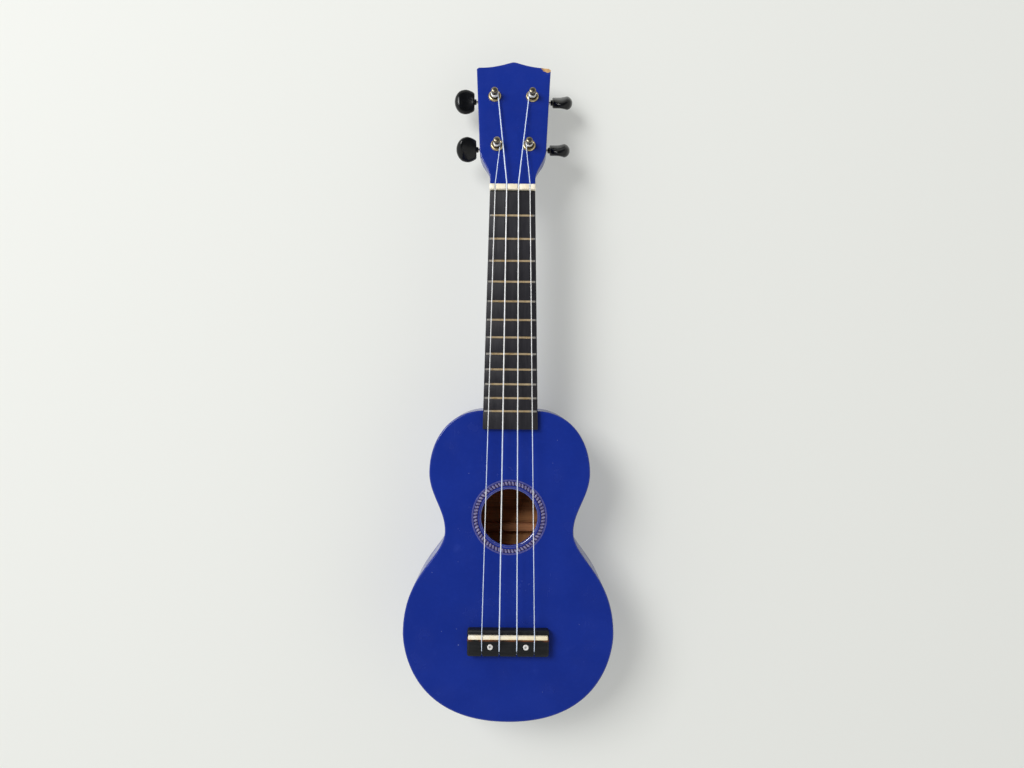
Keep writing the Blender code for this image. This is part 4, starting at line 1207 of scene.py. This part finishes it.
def postOutline():
    shape = machine
    half = shape["gearThickness"] / 2 + 0.3
    shoulder = half - shape["drop"]
    end = -half - shape["drop"]
    thin = shape["postThin"]
    wide = shape["postRadius"]
    waist = shape["postWaist"]
    top = shape["postHeight"]
    neck = [(wide, 1.4), (wide - 0.12, 1.65), (waist + 0.08, 1.82), (waist, 2.05), (waist, 6.9),
            (waist + 0.08, 7.1), (wide - 0.12, 7.35), (wide, 7.65)]
    dome = [(wide, top - 1.1), (wide - 0.2, top - 0.7), (wide - 0.75, top - 0.3), (wide - 1.6, top - 0.06),
            (0.3, top)]
    foot = [(0, end), (thin, end), (thin, shoulder), (wide, shoulder)]
    return [*foot, *through(neck, 3), *through(dome, 3), (0, top)]


def plateShape():
    # The flat plate and its two bent ears, in the machine's own frame
    shape = machine
    half = shape["plateHalf"]
    near = shape["plateNear"]
    far = shape["plateFar"]
    top = shape["plateTop"]
    gauge = shape["plateGauge"]
    corner = shape["plateCorner"]
    outline = [(half, near + corner), (half, far - corner), (half - corner, far), (corner - half, far),
               (-half, far - corner), (-half, near + corner), (corner - half, near), (half - corner, near)]
    parts = [slab(eased(outline, 1.4), top - gauge, top, Matrix(), 0.15)]
    # Each ear as distance along the headstock and drop below its face
    reach = shape["earReach"]
    ear = [(shape["aside"] + side * reach, top - gauge / 2) for side in (1, -1)]
    for i in range(15):
        angle = pi + pi * i / 14
        ear.append((shape["aside"] + reach * cos(angle), -shape["drop"] + reach * sin(angle)))
    upright = Matrix(((0, 0, 1, 0), (1, 0, 0, 0), (0, 1, 0, 0), (0, 0, 0, 1)))
    for start in (-half + 0.02, half - gauge - 0.02):
        parts.append(slab(ear, start, start + gauge, upright, 0.12))
    return joined(parts)


def gearShape():
    outline = []
    for tooth in range(machine["teeth"]):
        middle = pi / 2 + 2 * pi * tooth / machine["teeth"]
        low = -machine["dedendum"]
        high = machine["addendum"]
        for height, flank in ((low, -1), (high, -1), (high, 1), (low, 1)):
            radius = gearRadius + height
            angle = middle + flank * toothHalf(height) / gearRadius
            outline.append((radius * cos(angle), radius * sin(angle)))
    half = machine["gearThickness"] / 2
    bm = slab(eased(outline, 0.14, 2), -half, half, Matrix(), 0.12, 1)
    slope = axialPitch / (2 * pi * machine["wormRadius"])
    for vert in bm.verts:
        vert.co = Matrix.Rotation(vert.co.z * slope / gearRadius, 3, "Z") @ vert.co
    return carried(bm, Matrix.Translation((0, 0, -machine["drop"])))


def wormShape(side, matrix):
    # The shaft, and one thread wound round it that runs out at both ends
    shape = machine
    thin = shape["shaft"]
    inner = shape["shaftInner"]
    outer = shape["shaftOuter"]
    ends = [(0, inner), (thin - 0.25, inner), (thin, inner + 0.25), (thin, outer - 0.25),
            (thin - 0.25, outer), (0, outer)]
    shaft = turned(ends, 28, matrix @ Matrix.Rotation(pi / 2 * side, 4, "Y"))
    columns = 32
    total = shape["wormTurns"] * columns
    crest = shape["wormRadius"] + shape["addendum"]
    foot = toothHalf(-shape["dedendum"])
    tip = toothHalf(shape["addendum"])
    rings = []
    for k in range(total + 1):
        angle = 2 * pi * k / columns
        middle = axialPitch * (k / columns - shape["wormTurns"] / 2)
        runOut = min(k, total - k) / (columns / 4)
        top = thin - 0.1 + (crest - thin + 0.1) * min(runOut, 1)
        low = thin - 0.15
        corners = ((middle - foot, low), (middle - tip, top), (middle + tip, top), (middle + foot, low))
        rings.append([matrix @ Vector((place, radius * cos(angle), radius * sin(angle)))
                      for place, radius in corners])
    return joined([shaft, skin(rings)[0]])


# Place along the shaft, half width and half thickness
buttonStations = [
    (0.12, 6.9, 3.35), (0.7, 7.7, 3.75), (2.4, 8.8, 3.6), (4.8, 9.8, 3.45), (7.2, 10.3, 3.5), (9.8, 9.9, 4.1),
    (12.2, 8.8, 4.8), (14.2, 6.9, 4.2), (15.6, 4.5, 2.9), (16.3, 2.2, 1.6), (16.5, 0.5, 0.4),
]
buttonCollar = [(-1.6, 1.3, 1.3), (-1.6, 2.0, 2.0), (-1.4, 2.2, 2.2), (-0.3, 2.35, 2.35), (0.0, 2.7, 2.6),
                (0.0, 6.4, 3.1)]


def buttonShape(side, turn, matrix, count=56):
    rings = []
    spun = matrix @ Matrix.Rotation(radians(turn), 4, "X")
    for place, wide, thick in buttonCollar + through(buttonStations, 5):
        power = 1.0 if wide == thick else machine["buttonPower"]
        ring = []
        for x, y in circle(count):
            across = copysign(abs(x) ** power, x) * wide
            up = copysign(abs(y) ** power, y) * thick
            ring.append(spun @ Vector((side * (machine["buttonOffset"] + place), across, up)))
        rings.append(ring)
    return skin(rings)[0]


def buildScrewTree():
    # A domed head with a cross recess on each point, turned by the point's own angles
    tree, given = shapeTree("crossHeads", {
        "Radius": "Float", "Height": "Float", "Slot": "Float", "Finish": "Material"})
    radius = given["Radius"]
    height = given["Height"]
    slot = given["Slot"]
    dome = radius.node("GeometryNodeMeshUVSphere", {}, {"Segments": 28, "Rings": 14, "Radius": 1.0})
    dome = changed(dome, Scale=vectorOf(radius, radius, height))
    length = radius * 1.15
    deep = height * 0.9
    wide = radius * 3.0
    cuts = []
    for size, level in (((length, slot, deep), height), ((slot, length, deep), height),
                        ((wide, wide, radius * 2.0), radius * -1.0)):
        cube = radius.node("GeometryNodeMeshCube", {}, {"Size": vectorOf(*size)})
        cuts.append(changed(cube, Translation=vectorOf(0.0, 0.0, level)))
    head = dome.node("GeometryNodeMeshBoolean", {"operation": "DIFFERENCE", "solver": "EXACT"}, {
        "Mesh 1": dome, "Mesh 2": cuts})
    turn = head.node("GeometryNodeInputNamedAttribute", {"data_type": "FLOAT_VECTOR"}, {"Name": "turn"})
    heads = head.node("GeometryNodeInstanceOnPoints", {}, {
        "Points": given["Geometry"], "Instance": head, "Rotation": turn})
    closeTree(tree, heads, given["Finish"])
    return tree


screwTree = buildScrewTree()
screwRandom = random.Random(7)


def screwHeads(name, places, size):
    # Heads on the back of the headstock, facing away from it
    made = lines(name, [[place] for place in places])
    turns = made.data.attributes.new("turn", "FLOAT_VECTOR", "POINT")
    facing = headTilt.to_3x3() @ Matrix.Rotation(pi, 3, "X")
    for item in turns.data:
        item.vector = (facing @ Matrix.Rotation(screwRandom.uniform(0, pi), 3, "Z")).to_euler()
    radius, height, slot = size
    return grow(made, screwTree, {
        "Radius": radius * mm, "Height": height * mm, "Slot": slot * mm, "Finish": platedSteel})


def buildMachine(key):
    shape = machine
    side = strings[key]["side"]
    across, along = tunerPlaces[key]
    here = headMatrix(across, along)
    button = f"{key}_button"
    post = f"{key}_post"
    bushing = meshObject(f"bushing_{key}_domed", turned(bushingOutline(), 56, here), giltBrass)
    enlist(bushing, "gilt_brass", f"tuner_{key}_bushing")

    sideways = here @ Matrix.Translation((0, 0, shape["holeHeight"])) @ Matrix.Rotation(pi / 2, 4, "X")
    made = meshObject(f"post_{key}_turned", turned(postOutline(), 48, here), agedBrass)
    carve(made, [meshObject("stringHole", rod(shape["hole"], -4, 4, 24, sideways))])
    enlist(made, "plated_steel", f"tuner_{key}_post", body=post)

    axle = here @ Matrix.Translation((0, shape["aside"], -shape["drop"]))
    bearing = rod(shape["shaft"] + shape["shaftPlay"], -8, 8, 28, axle @ Matrix.Rotation(pi / 2, 4, "Y"))
    bore = rod(shape["bore"], -15, -12, 40, here)
    made = meshObject(f"plate_{key}_bent", carried(plateShape(), here), platedSteel)
    carve(made, [meshObject("bearingHole", bearing), meshObject("postHole", bore)])
    enlist(made, "plated_steel", f"tuner_{key}_plate")

    gear = meshObject(f"gear_{key}_cut", carried(gearShape(), here), brass)
    enlist(gear, "brass", f"tuner_{key}_gear", body=post)
    worm = meshObject(f"worm_{key}_cut", wormShape(side, axle), platedSteel)
    enlist(worm, "steel", f"tuner_{key}_worm_shaft", body=button)
    made = meshObject(f"button_{key}_moulded", buttonShape(side, strings[key]["turn"], axle), blackPlastic)
    enlist(made, "black_plastic", f"tuner_{key}_button", body=button)
    end = onHead(across, along, -shape["drop"] - shape["gearThickness"] / 2)
    enlist(screwHeads(f"gearScrew_{key}", [end], shape["gearScrew"]), "steel", body=post)


def buildPlateScrews():
    shape = machine
    level = shape["plateTop"] - shape["plateGauge"]
    shifts = (shape["plateNear"] + shape["screwInset"], shape["plateFar"] - shape["screwInset"])
    places = [onHead(across, along + shift, level)
              for across, along in tunerPlaces.values() for shift in shifts]
    enlist(screwHeads("plateScrews", places, shape["plateScrew"]), "steel")


for key in strings:
    buildMachine(key)
buildPlateScrews()

print("rosette")

rosette = {
    "outerLine": (28.75, 29.9), "band": (25.0, 28.5), "innerLine": (23.4, 24.3),
    "proud": 0.03, "sunk": 0.1, "edge": 0.12,
    "beads": 64, "beadRadius": 26.85, "beadSize": (1.72, 0.82, 0.16), "slant": radians(22),
}


def buildBeadTree():
    # Slanted beads laid round a circle
    tree, given = shapeTree("beadRing", {
        "Count": "Int", "Ring Radius": "Float", "Bead Size": "Vector", "Slant": "Float", "Centre": "Vector",
        "Finish": "Material"})
    count = given["Count"]
    ring = count.node("GeometryNodeMeshCircle", {}, {"Vertices": count, "Radius": given["Ring Radius"]})
    bead = count.node("GeometryNodeMeshUVSphere", {}, {"Segments": 12, "Rings": 8, "Radius": 1.0})
    bead = changed(bead, Scale=given["Bead Size"])
    bead = changed(bead, Rotation=vectorOf(0.0, 0.0, given["Slant"]))
    place = count.node("GeometryNodeInputPosition", {}, {})
    outward = place.node("FunctionNodeAlignRotationToVector", {"axis": "X"}, {"Vector": place})
    beads = ring.node("GeometryNodeInstanceOnPoints", {}, {
        "Points": ring, "Instance": bead, "Rotation": outward})
    closeTree(tree, changed(beads, Translation=given["Centre"]), given["Finish"])
    return tree


def flatRing(name, inner, outer, finish, slot):
    top = bodyShape["depth"] + rosette["proud"]
    low = bodyShape["depth"] - rosette["sunk"]
    edge = rosette["edge"]
    outline = [(inner, low), (outer, low), (outer, top - edge * 0.3), (outer - edge, top),
               (inner + edge, top), (inner, top - edge * 0.3)]
    here = Matrix.Translation(spot(0, bodyShape["holeCentre"], 0)) @ Matrix.Scale(mm, 4)
    enlist(meshObject(name, turned(outline, 160, here), finish), slot)


def buildRosette():
    shape = rosette
    flatRing("rosetteOuterLine", *shape["outerLine"], lavenderInlay, "white_plastic")
    flatRing("rosetteBand", *shape["band"], maroonInlay, "black_plastic")
    flatRing("rosetteInnerLine", *shape["innerLine"], dimInlay, "white_plastic")
    made = lines("rosetteBeads", [[Vector((0, 0, 0))]])
    grow(made, buildBeadTree(), {
        "Count": shape["beads"], "Ring Radius": shape["beadRadius"] * mm, "Slant": shape["slant"],
        "Bead Size": tuple(size * mm for size in shape["beadSize"]),
        "Centre": tuple(spot(0, bodyShape["holeCentre"], bodyShape["depth"])), "Finish": beadInlay})
    enlist(made, "white_plastic")


buildRosette()

print("carried-over nodes")

for name, node in nodes.items():
    if node.hide_render:
        continue
    node.data.materials.clear()
    node.data.materials.append(platedSteel)

print("stage")

stage = {
    "floorColour": (0.8, 0.81, 0.778),
    "floorHalf": 12.0,
    "floorGlow": 0.33,
    "floorRoughness": 0.9,
    "fade": (0.5, 2.2),
    "skyStops": [(0.0, (0.8, 0.81, 0.778)), (0.55, (1.0, 1.0, 0.95)), (0.72, (0.8, 0.8, 0.77)),
                 (0.86, (0.16, 0.16, 0.165)), (1.0, (0.1, 0.1, 0.105))],
    "farSky": (0.09, 0.09, 0.1),
    "farSkyAlong": (0.0, 0.55),
    "farSkyUp": (0.38, 0.52),
    "worldStrength": 0.95,
    "lampPlace": (-1.68, 1.2, 2.38),
    "lampSize": (1.3, 1.6),
    "lampPower": 79.5,
    "lens": 28.0,
    "sensor": 36.0,
    "cameraPlace": (0.0004, 0.00454, 0.6873),
    "cameraTurn": (-0.2, -0.06, 0.58),
}


def addFloor():
    half = stage["floorHalf"]
    corners = [(-half, -half, 0), (half, -half, 0), (half, half, 0), (-half, half, 0)]
    mesh = bpy.data.meshes.new("floor")
    mesh.from_pydata(corners, [], [(0, 1, 2, 3)])
    colour = opaque(stage["floorColour"])
    fixed = {"Base Color": colour, "Roughness": stage["floorRoughness"]}
    paint = finishOf("floorPaint", fixed, lambda place: {})
    # Part of the floor's paleness is its own where the camera or a reflection sees it, so shadows stay light,
    # and far away all of it is
    pen = Wire(paint.node_tree)
    seen = [pen.node("LightPath", {}, {}, out=f"Is {kind} Ray")
            for kind in ("Camera", "Glossy", "Transmission")]
    glow = pen.node("Emission", {}, {"Color": colour, "Strength": 1.0})
    plain = Wire(pen.tree, pen.tree.nodes["Principled BSDF"].outputs[0])
    place = pen.node("TexCoord", {}, {}, out="Object")
    far = place.node("VectorMath", {"operation": "LENGTH"}, {0: place}, out="Value").above(*stage["fade"])
    share = far * (1 - stage["floorGlow"]) + stage["floorGlow"]
    both = pen.node("MixShader", {}, {0: (seen[0] + seen[1] + seen[2]) * share, 1: plain, 2: glow})
    pen.tree.links.new(both.socket, pen.tree.nodes["Material Output"].inputs["Surface"])
    mesh.materials.append(paint)
    placed("floor", mesh)


def addLamp():
    light = bpy.data.lights.new("softLamp", "AREA")
    light.shape = "RECTANGLE"
    light.size, light.size_y = stage["lampSize"]
    light.energy = stage["lampPower"]
    lamp = placed("softLamp", light)
    lamp.location = stage["lampPlace"]
    lamp.rotation_euler = (-Vector(stage["lampPlace"])).to_track_quat("-Z", "Y").to_euler()


def addWorld():
    # A pale room, dim overhead round the camera and dim high up past the headstock
    world = bpy.data.worlds.new("paleRoom")
    world.use_nodes = True
    background = world.node_tree.nodes["Background"]
    pen = Wire(world.node_tree)
    way = pen.node("TexCoord", {}, {}, out=0)
    up = way.axis("Z")
    sky = way.node("ValToRGB", {"stops": stage["skyStops"]}, {"Fac": up})
    past = way.axis("Y").above(*stage["farSkyAlong"]) * up.above(*stage["farSkyUp"])
    sky = past.blend(sky, stage["farSky"])
    world.node_tree.links.new(sky.socket, background.inputs["Color"])
    background.inputs["Strength"].default_value = stage["worldStrength"]
    bpy.context.scene.world = world


def addCamera():
    lens = bpy.data.cameras.new("camera")
    lens.lens = stage["lens"]
    lens.sensor_width = stage["sensor"]
    camera = placed("camera", lens)
    camera.location = stage["cameraPlace"]
    camera.rotation_euler = [radians(turn) for turn in stage["cameraTurn"]]
    bpy.context.scene.camera = camera


addFloor()
addLamp()
addWorld()
addCamera()
bpy.context.scene.view_settings.view_transform = "Standard"
